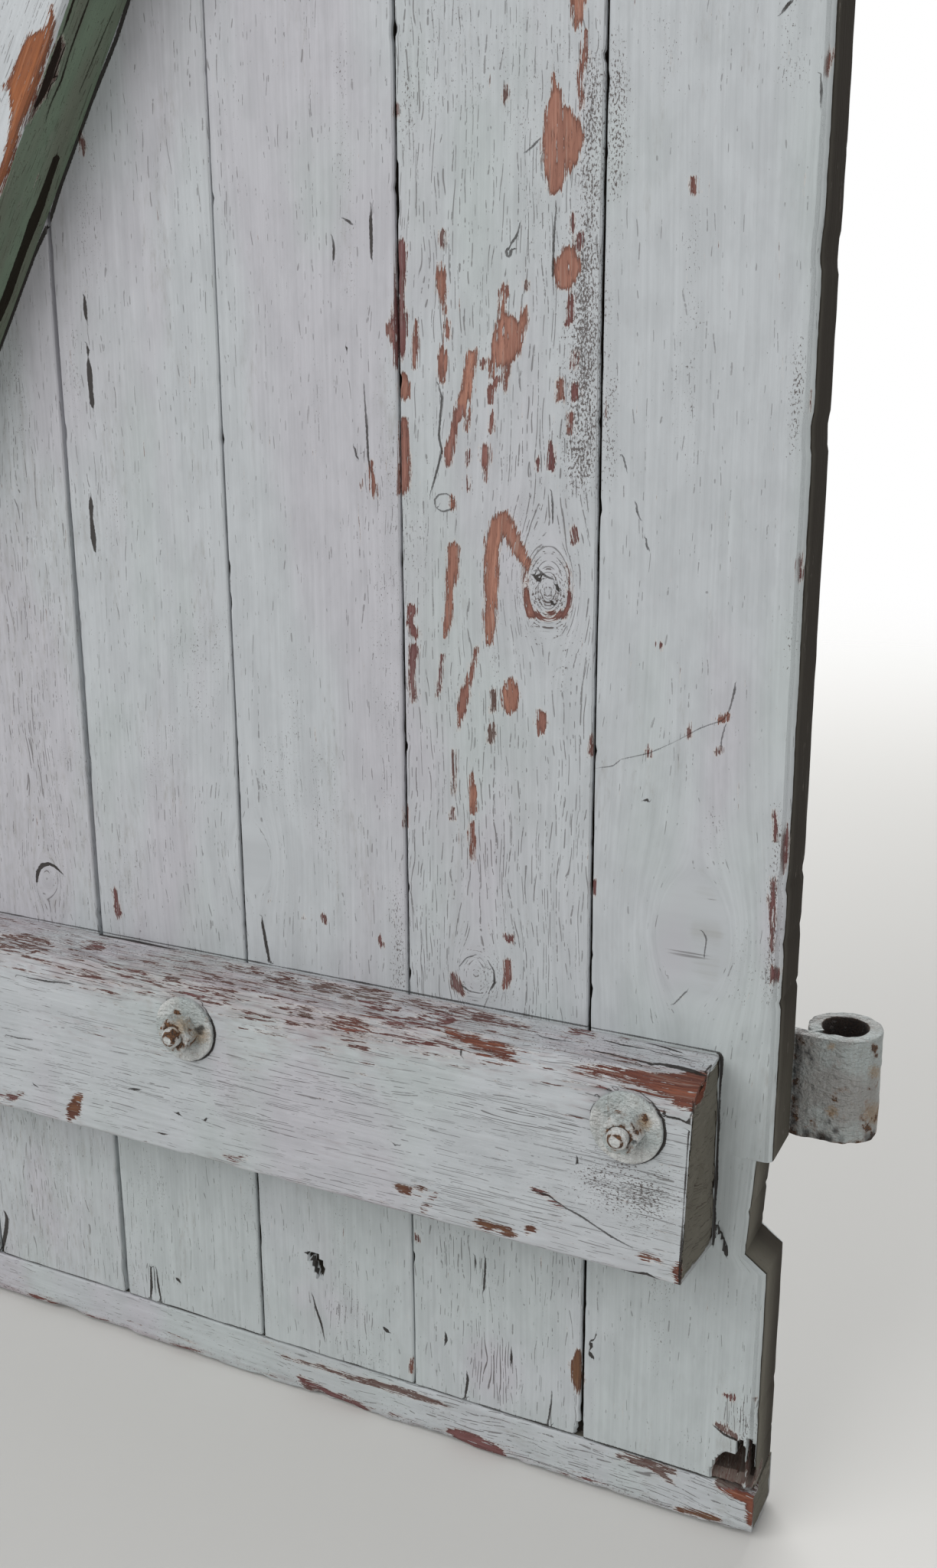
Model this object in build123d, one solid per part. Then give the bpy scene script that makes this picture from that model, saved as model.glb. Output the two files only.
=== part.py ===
from build123d import *

import math
import os

# One leaf of an old board shutter, in millimetres.
# X runs along the face towards the hinges, Y from the ledge side to the strap side, Z up.
# The origin is on the axis of the lower hinge eye, halfway up the eye.

# Driving sizes of the leaf
leaf_height = 1130.0
board_count = 8
board_cover = 76.0
edge_board_cover = 71.0
board_thickness = 27.0

# Tongues and grooves between the boards
joint_gap = 1.2
tongue_thickness = 7.5
tongue_reach = 7.0
tongue_play = 0.2
board_arris = 0.8
edge_arris = 2.0

# Rails that cap the ends of the boards
rail_height = 19.0
rail_tongue_thickness = 9.5
rail_tongue_reach = 8.0
rail_play = 0.2
rail_arris = 2.5

# Ledges across the boards
ledge_height = 77.0
ledge_thickness = 31.0
ledge_end_margin = 20.5
ledge_wear_radius = 8.0
ledge_arris = 1.5

# Brace from ledge to ledge
brace_width = 77.0
brace_thickness = 30.0
brace_end_margin = 7.5
brace_arris = 2.0

# Strap hinges with rolled eyes
pintle_diameter = 16.0
pintle_play = 0.25
strap_thickness = 5.5
strap_width = 40.0
strap_tail = 30.0
strap_tail_radius = 18.0
eye_offset = 15.0
eye_height = 180.0
eye_seam = 0.7

# Carriage bolts with washers and nuts
bolt_count = 3
bolt_pitch = 188.0
first_bolt_inset = 44.0
bolt_below_ledge_edge = 19.0
bolt_diameter = 8.0
bolt_hole_play = 0.5
bolt_projection = 4.5
bolt_tip_round = 1.5
bolt_head_diameter = 20.0
bolt_head_height = 4.5
bolt_dome_bands = 2
bolt_crown_diameter = 6.0
neck_side = 8.2
neck_height = 4.8
neck_play = 0.2
washer_diameter = 27.0
washer_thickness = 2.0
nut_width = 13.0
nut_height = 6.5
nut_corner_cut = 0.9
thread_play = 0.05

# Cut nails driven from the strap side
nail_side = 3.2
nail_play = 0.1
nail_bite = 20.0
nail_head_side = 8.0
nail_head_tip = 4.0
nail_head_height = 1.6
nail_edge_distance = 12.0
nail_row_distance = 18.0
nail_stagger = 16.0
brace_nail_spread = 32.0

# Notch for the pintle below each eye
notch_height = 46.0
notch_top_depth = 5.8
notch_bottom_depth = 8.5
notch_slope = 6.0
notch_corner_radius = 4.0

# Rotten corner at the foot of the hinge side
rot_width = 17.0
rot_height = 14.0
rot_split_height = 23.0
rot_split_inset = 4.0
rot_depth = 7.0
rail_break_length = 14.0
rail_break_drop = 6.0
rail_break_depth = 8.0

# Places that follow from the sizes
bore_radius = pintle_diameter / 2 + pintle_play
eye_radius = bore_radius + strap_thickness
back_y = -eye_radius
front_y = back_y - board_thickness
middle_y = back_y - board_thickness / 2
ledge_front_y = front_y - ledge_thickness
brace_front_y = front_y - brace_thickness
strap_back_y = back_y + strap_thickness

leaf_width = 2 * edge_board_cover + (board_count - 2) * board_cover
hinge_edge_x = -eye_offset
free_edge_x = hinge_edge_x - leaf_width
bottom_z = -eye_height
top_z = bottom_z + leaf_height
middle_z = (bottom_z + top_z) / 2
upper_eye_z = top_z - eye_height
boards_low_z = bottom_z + rail_height
boards_high_z = top_z - rail_height

ledge_right_x = hinge_edge_x - ledge_end_margin
ledge_left_x = free_edge_x + ledge_end_margin
lower_ledge_top_z = bolt_below_ledge_edge
lower_ledge_low_z = lower_ledge_top_z - ledge_height
upper_ledge_low_z = upper_eye_z - bolt_below_ledge_edge
upper_ledge_top_z = upper_ledge_low_z + ledge_height

bolt_xs = [hinge_edge_x - first_bolt_inset - index * bolt_pitch for index in range(bolt_count)]
strap_tail_x = bolt_xs[-1] - strap_tail


def joint_x(index):
    """Middle of a joint between boards; 0 is the hinge edge and board_count the free edge."""
    if index == 0:
        return hinge_edge_x
    if index == board_count:
        return free_edge_x
    return hinge_edge_x - edge_board_cover - (index - 1) * board_cover


def block(low, high):
    """Box between two corners."""
    size = [high[axis] - low[axis] for axis in range(3)]
    middle = [(high[axis] + low[axis]) / 2 for axis in range(3)]
    return Pos(*middle) * Box(*size)


def rod(x, z, radius, y_low, y_high):
    """Round bar along Y."""
    return Pos(x, (y_low + y_high) / 2, z) * Rot(X=90) * Cylinder(radius, y_high - y_low)


def overlaps_in_x(shape, tool):
    """True where a tool reaches into the width of a shape."""
    shape_box = shape.bounding_box()
    tool_box = tool.bounding_box()
    return tool_box.min.X < shape_box.max.X and tool_box.max.X > shape_box.min.X


def cut_by(shape, tools):
    """Shape with each tool that crosses it taken away."""
    for tool in tools:
        if overlaps_in_x(shape, tool):
            shape = shape - tool
    return shape


# Bolt and nail places

def ledge_nail_places(ledge_low_z, ledge_top_z, outer_edge):
    """Two staggered nails for each board, near the ledge edge that is clear of the strap."""
    inward = 1 if outer_edge == "low" else -1
    edge_z = ledge_low_z if outer_edge == "low" else ledge_top_z
    first_z = edge_z + inward * nail_edge_distance
    second_z = first_z + inward * nail_row_distance
    places = []
    for index in range(board_count):
        board_x = (joint_x(index) + joint_x(index + 1)) / 2
        inset_low = ledge_left_x + nail_edge_distance
        inset_high = ledge_right_x - nail_edge_distance
        for offset, z in ((-nail_stagger, first_z), (nail_stagger, second_z)):
            x = min(max(board_x + offset, inset_low), inset_high)
            places.append((x, z))
    return places


brace_rise = upper_ledge_low_z - lower_ledge_top_z
brace_run = (ledge_right_x - brace_end_margin) - (ledge_left_x + brace_end_margin)
brace_angle = math.acos(brace_width / math.hypot(brace_run, brace_rise)) - math.atan2(brace_rise, brace_run)
brace_foot = brace_width / math.cos(brace_angle)
brace_foot_left_x = ledge_left_x + brace_end_margin
brace_top_right_x = ledge_right_x - brace_end_margin


def brace_nail_places():
    """Two nails along the middle of the brace at each board that it crosses."""
    places = []
    foot_x = brace_foot_left_x + brace_foot / 2
    head_x = brace_top_right_x - brace_foot / 2
    for index in range(board_count):
        board_x = (joint_x(index) + joint_x(index + 1)) / 2
        if not foot_x + nail_edge_distance < board_x < head_x - nail_edge_distance:
            continue
        board_z = lower_ledge_top_z + (board_x - foot_x) / math.tan(brace_angle)
        for side in (-1, 1):
            along = side * brace_nail_spread / 2
            x = board_x + along * math.sin(brace_angle)
            z = board_z + along * math.cos(brace_angle)
            places.append((x, z))
    return places


lower_nail_places = ledge_nail_places(lower_ledge_low_z, lower_ledge_top_z, "low")
upper_nail_places = ledge_nail_places(upper_ledge_low_z, upper_ledge_top_z, "top")
brace_nails_places = brace_nail_places()


def nail_hole(x, z):
    """Square hole that a nail fills, from the back of the boards into the ledge or brace."""
    half = nail_side / 2 + nail_play
    tip_y = front_y - nail_bite - nail_play
    return block((x - half, tip_y, z - half), (x + half, back_y + nail_play, z + half))


def nail(x, z):
    """Cut nail with a square shank and a low four-sided head on the back of a board."""
    half = nail_side / 2
    shank = block((x - half, front_y - nail_bite, z - half), (x + half, back_y, z + half))
    base = Plane(origin=(x, back_y, z), z_dir=(0, 1, 0))
    tip = Plane(origin=(x, back_y + nail_head_height, z), z_dir=(0, 1, 0))
    head = loft([base * Rectangle(nail_head_side, nail_head_side), tip * Rectangle(nail_head_tip, nail_head_tip)])
    return shank + head


all_nail_places = lower_nail_places + upper_nail_places + brace_nails_places
nail_holes = [nail_hole(x, z) for x, z in all_nail_places]

bolt_places = {"lower": 0.0, "upper": upper_eye_z}
hole_radius = bolt_diameter / 2 + bolt_hole_play
bolt_holes = [
    rod(x, z, hole_radius, ledge_front_y - 1, strap_back_y + 1)
    for z in bolt_places.values()
    for x in bolt_xs
]


# Boards

def board_section(index):
    """Cross-section of one board, with its tongue and its groove."""
    right_x = joint_x(index) - (joint_gap / 2 if index > 0 else 0)
    left_x = joint_x(index + 1) + (joint_gap / 2 if index < board_count - 1 else 0)
    width = right_x - left_x
    section = Pos((left_x + right_x) / 2, middle_y) * Rectangle(width, board_thickness)
    inner_edges = section.vertices()
    if index == 0:
        outer = section.vertices().group_by(Axis.X)[-1]
        section = fillet(outer, edge_arris)
        inner_edges = section.vertices().group_by(Axis.X)[0]
    if index == board_count - 1:
        outer = section.vertices().group_by(Axis.X)[0]
        section = fillet(outer, edge_arris)
        inner_edges = section.vertices().group_by(Axis.X)[-1]
    section = fillet(inner_edges, board_arris)
    if index < board_count - 1:
        reach = joint_gap + tongue_reach
        section += Pos(left_x - reach / 2, middle_y) * Rectangle(reach, tongue_thickness)
    if index > 0:
        depth = tongue_reach + tongue_play
        height = tongue_thickness + 2 * tongue_play
        section -= Pos(right_x - depth / 2, middle_y) * Rectangle(depth, height)
    return section


def shoulders():
    """Wood cut off the board ends to leave the tongues that sit in the rails."""
    half = rail_tongue_thickness / 2
    left = free_edge_x - 1
    right = hinge_edge_x + 1
    cuts = []
    for low_z, high_z in ((bottom_z, boards_low_z), (boards_high_z, top_z)):
        cuts.append(block((left, front_y - 1, low_z), (right, middle_y - half, high_z)))
        cuts.append(block((left, middle_y + half, low_z), (right, back_y + 1, high_z)))
    return cuts


def pintle_notch(eye_z):
    """Notch through the hinge edge, flush below the strap, with a foot that slopes outwards."""
    top = eye_z - strap_width / 2
    outside = hinge_edge_x + 1
    outline = Polyline(
        (outside, top),
        (hinge_edge_x - notch_top_depth, top),
        (hinge_edge_x - notch_bottom_depth, top - notch_height + notch_slope),
        (hinge_edge_x, top - notch_height),
        (outside, top - notch_height),
        close=True,
    )
    face = Plane.XZ * make_face(outline)
    cutter = extrude(face, board_thickness + 2, dir=(0, 1, 0))
    cutter = Pos(0, front_y - 1, 0) * cutter
    inner_corner = cutter.edges().filter_by(Axis.Y).group_by(Axis.X)[0]
    return fillet(inner_corner, notch_corner_radius)


def corner_rot():
    """Pocket where the front of the hinge board has rotted above the rail, with a split rising from it."""
    x0 = hinge_edge_x
    z0 = boards_low_z
    crown = (x0 - rot_width * 0.7, z0 + rot_height * 0.95)
    shoulder = (x0 - rot_split_inset - 2.5, z0 + rot_height)
    split = (x0 - rot_split_inset, z0 + rot_split_height)
    outside = x0 + 1
    left_side = ThreePointArc((x0 - rot_width, z0), (x0 - rot_width * 0.97, z0 + rot_height / 2), crown)
    crown_line = Line(crown, shoulder)
    split_left = Line(shoulder, split)
    split_right = Line(split, (x0 - 1.5, z0 + rot_height))
    right_side = Line((x0 - 1.5, z0 + rot_height), (outside, z0 + rot_height * 0.8))
    outer = Line((outside, z0 + rot_height * 0.8), (outside, z0))
    foot = Line((outside, z0), (x0 - rot_width, z0))
    outline = [left_side, crown_line, split_left, split_right, right_side, outer, foot]
    face = Plane.XZ * make_face(outline)
    return Pos(0, front_y - 1, 0) * extrude(face, rot_depth + 1, dir=(0, 1, 0))


def board(index):
    """One board of the panel, counted from the hinge edge."""
    low_z = boards_low_z - rail_tongue_reach
    high_z = boards_high_z + rail_tongue_reach
    solid = extrude(Pos(0, 0, low_z) * board_section(index), high_z - low_z)
    for shoulder in shoulders():
        solid = solid - shoulder
    if index == 0:
        solid = solid - pintle_notch(0) - pintle_notch(upper_eye_z) - corner_rot()
    return cut_by(solid, bolt_holes + nail_holes)


# Rails

def bottom_rail():
    """Rail under the boards, grooved for their tongues, with its upper front corner broken off."""
    half = rail_tongue_thickness / 2 + rail_play
    rail = block((free_edge_x, front_y, bottom_z), (hinge_edge_x, back_y, boards_low_z))
    rail = fillet(rail.edges().filter_by(Axis.X).group_by(Axis.Z)[0], rail_arris)
    groove_low = boards_low_z - rail_tongue_reach - rail_play
    rail -= block((free_edge_x - 1, middle_y - half, groove_low), (hinge_edge_x + 1, middle_y + half, boards_low_z + 1))
    return rail


def rail_break():
    """Broken wood at the hinge end of the bottom rail."""
    outline = Polyline(
        (hinge_edge_x - rail_break_length, boards_low_z + 1),
        (hinge_edge_x - rail_break_length, boards_low_z),
        (hinge_edge_x - rail_break_length / 2, boards_low_z - rail_break_drop),
        (hinge_edge_x + 1, boards_low_z - rail_break_drop),
        (hinge_edge_x + 1, boards_low_z + 1),
        close=True,
    )
    face = Plane.XZ * make_face(outline)
    return Pos(0, front_y - 1, 0) * extrude(face, rail_break_depth + 1, dir=(0, 1, 0))


# Ledges and brace

def ledge(low_z, top_z):
    """Cross piece with its upper front corner worn round, drilled for the bolts and nails."""
    bar = block((ledge_left_x, ledge_front_y, low_z), (ledge_right_x, front_y, top_z))
    front_edges = bar.edges().filter_by(Axis.X).group_by(Axis.Y)[0].sort_by(Axis.Z)
    bar = fillet(front_edges[-1], ledge_wear_radius)
    front_edges = bar.edges().filter_by(Axis.X).group_by(Axis.Y)[0].sort_by(Axis.Z)
    bar = fillet(front_edges[0], ledge_arris)
    return bar


def brace():
    """Diagonal that bears on both ledges, with eased front corners."""
    outline = Polyline(
        (brace_foot_left_x, lower_ledge_top_z),
        (brace_foot_left_x + brace_foot, lower_ledge_top_z),
        (brace_top_right_x, upper_ledge_low_z),
        (brace_top_right_x - brace_foot, upper_ledge_low_z),
        close=True,
    )
    face = Plane.XZ * make_face(outline)
    bar = Pos(0, brace_front_y, 0) * extrude(face, brace_thickness, dir=(0, 1, 0))
    long_edges = bar.edges().group_by(Axis.Y)[0].sort_by(Edge.length)[-2:]
    return chamfer(long_edges, brace_arris)


# Strap hinges

def strap(eye_z):
    """Flat strap on the back of the boards, rolled backwards into an open-seamed eye."""
    ring = Circle(eye_radius) - Circle(bore_radius)
    plate_length = -strap_tail_x
    plate = Pos(-plate_length / 2, (back_y + strap_back_y) / 2) * Rectangle(plate_length, strap_thickness)
    seam_length = eye_radius + 1
    seam = Pos(-seam_length / 2, strap_back_y + eye_seam / 2) * Rectangle(seam_length, eye_seam)
    section = ring + plate - seam
    solid = extrude(Pos(0, 0, eye_z - strap_width / 2) * section, strap_width)
    tail_corners = solid.edges().filter_by(Axis.Y).group_by(Axis.X)[0]
    solid = fillet(tail_corners, strap_tail_radius)
    half = neck_side / 2 + neck_play
    for x in bolt_xs:
        solid -= block((x - half, back_y - 1, eye_z - half), (x + half, strap_back_y + 1, eye_z + half))
    return solid


# Bolts, washers and nuts

washer_front_y = ledge_front_y - washer_thickness
nut_front_y = washer_front_y - nut_height
bolt_tip_y = nut_front_y - bolt_projection


def bolt(x, z):
    """Carriage bolt: domed head on the strap, square neck in it, rounded end beyond the nut."""
    head_radius = bolt_head_diameter / 2
    shank_radius = bolt_diameter / 2
    crown_y = strap_back_y + bolt_head_height
    slopes = [math.pi / 2 * number / bolt_dome_bands for number in range(bolt_dome_bands)]
    dome = [(head_radius * math.cos(slope), strap_back_y + bolt_head_height * math.sin(slope)) for slope in slopes]
    crown = [(bolt_crown_diameter / 2, crown_y), (0, crown_y)]
    end = [(0, bolt_tip_y), (shank_radius - bolt_tip_round, bolt_tip_y)]
    side = [(shank_radius, bolt_tip_y + bolt_tip_round), (shank_radius, strap_back_y)]
    outline = Polyline(*dome, *crown, *end, *side, close=True)
    turned = revolve(make_face(outline.edges()), Axis.Y)
    half = neck_side / 2
    neck = block((-half, strap_back_y - neck_height, -half), (half, strap_back_y, half))
    return Pos(x, 0, z) * (turned + neck)


def washer(x, z):
    """Broad flat washer on the face of the ledge."""
    disc = rod(x, z, washer_diameter / 2, washer_front_y, ledge_front_y)
    return disc - rod(x, z, hole_radius, washer_front_y - 1, ledge_front_y + 1)


def nut(x, z):
    """Hexagon nut with its outer corners cut back."""
    base = Plane(origin=(0, washer_front_y, 0), z_dir=(0, -1, 0))
    corner_radius = nut_width / math.sqrt(3)
    hexagon = extrude(base * RegularPolygon(corner_radius, 6), nut_height)
    rounding = Rot(X=90) * Cylinder(corner_radius, nut_height)
    rounding = chamfer(rounding.edges().group_by(Axis.Y)[0], nut_corner_cut)
    body = hexagon & (Pos(0, (washer_front_y + nut_front_y) / 2, 0) * rounding)
    body -= rod(0, 0, bolt_diameter / 2 + thread_play, nut_front_y - 1, washer_front_y + 1)
    return Pos(x, 0, z) * body


# Every piece under its own name

pieces = {}
for index in range(board_count):
    pieces[f"board_{index + 1}"] = board(index)

plain_rail = bottom_rail()
pieces["bottom_rail"] = plain_rail - rail_break()
pieces["top_rail"] = mirror(plain_rail, about=Plane.XY.offset(middle_z))
pieces["lower_ledge"] = cut_by(ledge(lower_ledge_low_z, lower_ledge_top_z), bolt_holes[:bolt_count] + nail_holes)
pieces["upper_ledge"] = cut_by(ledge(upper_ledge_low_z, upper_ledge_top_z), bolt_holes[bolt_count:] + nail_holes)
pieces["brace"] = cut_by(brace(), nail_holes)
pieces["lower_ledge_nails"] = Compound(children=[nail(x, z) for x, z in lower_nail_places])
pieces["upper_ledge_nails"] = Compound(children=[nail(x, z) for x, z in upper_nail_places])
pieces["brace_nails"] = Compound(children=[nail(x, z) for x, z in brace_nails_places])

for level, level_z in bolt_places.items():
    pieces[f"{level}_strap"] = strap(level_z)
    for number, bolt_x in enumerate(bolt_xs, 1):
        pieces[f"{level}_bolt_{number}"] = bolt(bolt_x, level_z)
        pieces[f"{level}_washer_{number}"] = washer(bolt_x, level_z)
        pieces[f"{level}_nut_{number}"] = nut(bolt_x, level_z)

os.makedirs("parts", exist_ok=True)
for name, shape in pieces.items():
    export_step(shape, f"parts/{name}.step")
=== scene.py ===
import itertools
import math

import bpy
import numpy as np
from bpy.props import FloatProperty, FloatVectorProperty, PointerProperty
from mathutils import Matrix, Vector


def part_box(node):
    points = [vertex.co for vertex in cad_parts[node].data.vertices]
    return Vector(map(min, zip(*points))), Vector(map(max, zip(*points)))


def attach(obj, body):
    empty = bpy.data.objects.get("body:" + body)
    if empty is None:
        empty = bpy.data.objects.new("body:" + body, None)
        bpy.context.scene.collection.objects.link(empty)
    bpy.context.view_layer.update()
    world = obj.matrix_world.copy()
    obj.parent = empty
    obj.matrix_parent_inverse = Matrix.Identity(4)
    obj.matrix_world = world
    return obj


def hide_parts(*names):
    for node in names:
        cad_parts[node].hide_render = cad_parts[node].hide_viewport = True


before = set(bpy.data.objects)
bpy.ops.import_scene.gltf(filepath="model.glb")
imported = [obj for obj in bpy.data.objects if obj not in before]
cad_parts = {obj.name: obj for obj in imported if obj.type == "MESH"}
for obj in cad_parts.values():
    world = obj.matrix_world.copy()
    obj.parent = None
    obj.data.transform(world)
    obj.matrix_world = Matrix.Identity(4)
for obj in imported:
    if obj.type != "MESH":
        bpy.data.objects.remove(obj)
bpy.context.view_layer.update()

bl_info = {
    "name": "Board Shutter Leaf",
    "version": (1, 0, 0),
    "blender": (4, 5, 0),
    "location": "3D View > Sidebar > Shutter",
    "description": "Dresses an old painted board shutter leaf around its CAD frame",
    "category": "Object",
}

# Lengths here are in millimetres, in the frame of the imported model, and become metres as a mesh is made.
MM = 0.001


def node_box(node):
    """Lowest and highest corner of a CAD node, in millimetres."""
    low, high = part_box(node)
    return np.array(low) / MM, np.array(high) / MM


BOARD_COUNT = 8
BOARD_BOXES = [node_box(f"board_{number}") for number in range(1, BOARD_COUNT + 1)]
HINGE_EDGE_X = BOARD_BOXES[0][1][0]
FREE_EDGE_X = BOARD_BOXES[-1][0][0]
FRONT_Y = BOARD_BOXES[0][0][1]
BACK_Y = BOARD_BOXES[0][1][1]
MIDDLE_Y = (FRONT_Y + BACK_Y) / 2
FOOT_Z = node_box("bottom_rail")[0][2]
HEAD_Z = node_box("top_rail")[1][2]
BOARDS_LOW_Z = node_box("bottom_rail")[1][2]
RAIL_GAP = 0.8
BOARDS_HIGH_Z = node_box("top_rail")[0][2]
LOWER_LEDGE = node_box("lower_ledge")
UPPER_LEDGE = node_box("upper_ledge")
LEDGE_FRONT_Y = LOWER_LEDGE[0][1]
LEDGE_WEAR_RADIUS = 8.0
BRACE = node_box("brace")
BRACE_FRONT_Y = BRACE[0][1]
BRACE_FOOT_WIDTH = 90.4
BRACE_RUN = BRACE[1][0] - BRACE[0][0] - BRACE_FOOT_WIDTH
BRACE_ANGLE = math.atan2(BRACE_RUN, BRACE[1][2] - BRACE[0][2])
UPPER_EYE_Z = (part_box("upper_strap")[0].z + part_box("upper_strap")[1].z) / 2 / MM

# The photograph's camera, solved from the joints of the boards and the edges of the ledge.
PHOTO_WIDTH = 1224
PHOTO_HEIGHT = 2048
FOCAL_PIXELS = 1977.1
SENSOR_WIDTH = 36.0
VIEW_AZIMUTH = math.radians(26.06)
VIEW_ELEVATION = math.radians(15.563)
VIEW_ROLL = math.radians(-0.234)
EYE_PLACE = np.array([101.4, -524.75, 257.4])

# Above this height the photograph doesn't reach the leaf, and the meshes get coarser.
PHOTO_TOP_Z = 405.0
PHOTO_LEFT_X = -425.0


def view_axes():
    """The camera's right, up and back directions."""
    azimuth, elevation, roll = VIEW_AZIMUTH, VIEW_ELEVATION, VIEW_ROLL
    back = np.array([
        math.sin(azimuth) * math.cos(elevation),
        -math.cos(azimuth) * math.cos(elevation),
        math.sin(elevation),
    ])
    level = np.array([math.cos(azimuth), math.sin(azimuth), 0.0])
    upright = np.cross(back, level)
    right = math.cos(roll) * level + math.sin(roll) * upright
    up = math.cos(roll) * upright - math.sin(roll) * level
    return right, up, back


VIEW_RIGHT, VIEW_UP, VIEW_BACK = view_axes()


def sight_line(x, y):
    """Direction from the camera through a point of the photograph."""
    across = (x - PHOTO_WIDTH / 2) / FOCAL_PIXELS
    down = (y - PHOTO_HEIGHT / 2) / FOCAL_PIXELS
    return VIEW_RIGHT * across - VIEW_UP * down - VIEW_BACK


def seen_at(points):
    """Where the photograph shows each point: x and y."""
    away = points - EYE_PLACE
    depth = -(away @ VIEW_BACK)
    x = PHOTO_WIDTH / 2 + FOCAL_PIXELS * (away @ VIEW_RIGHT) / depth
    y = PHOTO_HEIGHT / 2 - FOCAL_PIXELS * (away @ VIEW_UP) / depth
    return np.stack([x, y], axis=1)


def on_plane(point, normal):
    """Function that puts a point of the photograph on a plane of the leaf."""
    point = np.array(point, float)
    normal = np.array(normal, float)

    def place(x, y):
        line = sight_line(x, y)
        return EYE_PLACE + line * ((point - EYE_PLACE) @ normal) / (line @ normal)

    return place


def on_ledge(x, y):
    """Place on the lower ledge of a point of the photograph: on its top, its worn corner or its front."""
    line = sight_line(x, y)
    top_z = LOWER_LEDGE[1][2]
    top = EYE_PLACE + line * (top_z - EYE_PLACE[2]) / line[2]
    if line[2] < 0 and top[1] >= LEDGE_FRONT_Y + LEDGE_WEAR_RADIUS:
        return top
    front = EYE_PLACE + line * (LEDGE_FRONT_Y - EYE_PLACE[1]) / line[1]
    if front[2] <= top_z - LEDGE_WEAR_RADIUS:
        return front
    start = EYE_PLACE[1:] - np.array([LEDGE_FRONT_Y + LEDGE_WEAR_RADIUS, top_z - LEDGE_WEAR_RADIUS])
    slope = line[1:]
    squared, half = slope @ slope, start @ slope
    spread = max(half * half - squared * (start @ start - LEDGE_WEAR_RADIUS ** 2), 0.0)
    return EYE_PLACE + line * (-half - math.sqrt(spread)) / squared


on_boards = on_plane((0, FRONT_Y, 0), (0, 1, 0))
on_brace_front = on_plane((0, BRACE_FRONT_Y, 0), (0, 1, 0))
on_brace_side = on_plane(
    (BRACE[0][0] + BRACE_FOOT_WIDTH, 0, BRACE[0][2]),
    (math.cos(BRACE_ANGLE), 0, -math.sin(BRACE_ANGLE)),
)

# Marks read from the photograph. Each is a chain of its points: x and y there, and the mark's width in
# the same pixels. The tone of bare wood runs from -1, dark brown, over 0, orange brown, and 0.5, red brown,
# to 1, grey brown.
UMBER, CLAY, ASH = -1.0, 0.0, 1.0

# Marks on the iron: x, y and radius in the photograph.
IRON_RUST = {
    "nut crust": (232, 1325, 8),
    "nut rust": (229, 1350, 9),
    "second nut rust": (841, 1462, 9),
    "second nut rust foot": (834, 1478, 6),
    "eye top spot": (1085, 1371, 4),
    "eye rim rust": (1143, 1368, 6),
    "eye right spot": (1145, 1379, 4),
    "eye right crack": (1137, 1408, 4),
    "eye right crack low": (1135, 1422, 4),
    "eye spot": (1084, 1456, 5),
    "eye foot stain": (1143, 1462, 8),
    "eye foot stain low": (1134, 1474, 6),
    "eye pink spot": (1091, 1437, 4),
}
# Dark marks on the iron: cracks and dirt in the paint, and painted shade in the nut's hole and along the eye's seam
# beside the board.
IRON_DIRT_AND_SHADE = {
    "nut hole": (261, 1346, 7),
    "second nut edge": (829, 1492, 4),
    "eye crack one": (1043, 1368, 3),
    "eye crack two": (1047, 1374, 3),
    "eye crack three": (1056, 1375, 4),
    "eye crack four": (1059, 1382, 3),
    "eye blob": (1038, 1396, 5),
    "eye seam": (1037, 1418, 4),
    "eye seam low": (1036, 1440, 4),
    "eye seam foot": (1037, 1466, 5),
    "eye slot": (1082, 1465, 3),
    "eye dark spot": (1091, 1477, 4),
    "eye foot notch": (1080, 1491, 9),
    "eye foot notch right": (1140, 1488, 8),
}
IRON_OCHRE = {
    "nut ochre": (236, 1340, 15),
    "nut hole halo": (262, 1352, 15),
    "second nut stain": (842, 1468, 13),
    "eye low stain": (1087, 1452, 10),
    "eye top stain": (1086, 1366, 7),
    "eye right stain": (1143, 1400, 11),
    "eye right stain low": (1142, 1455, 18),
}

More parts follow.
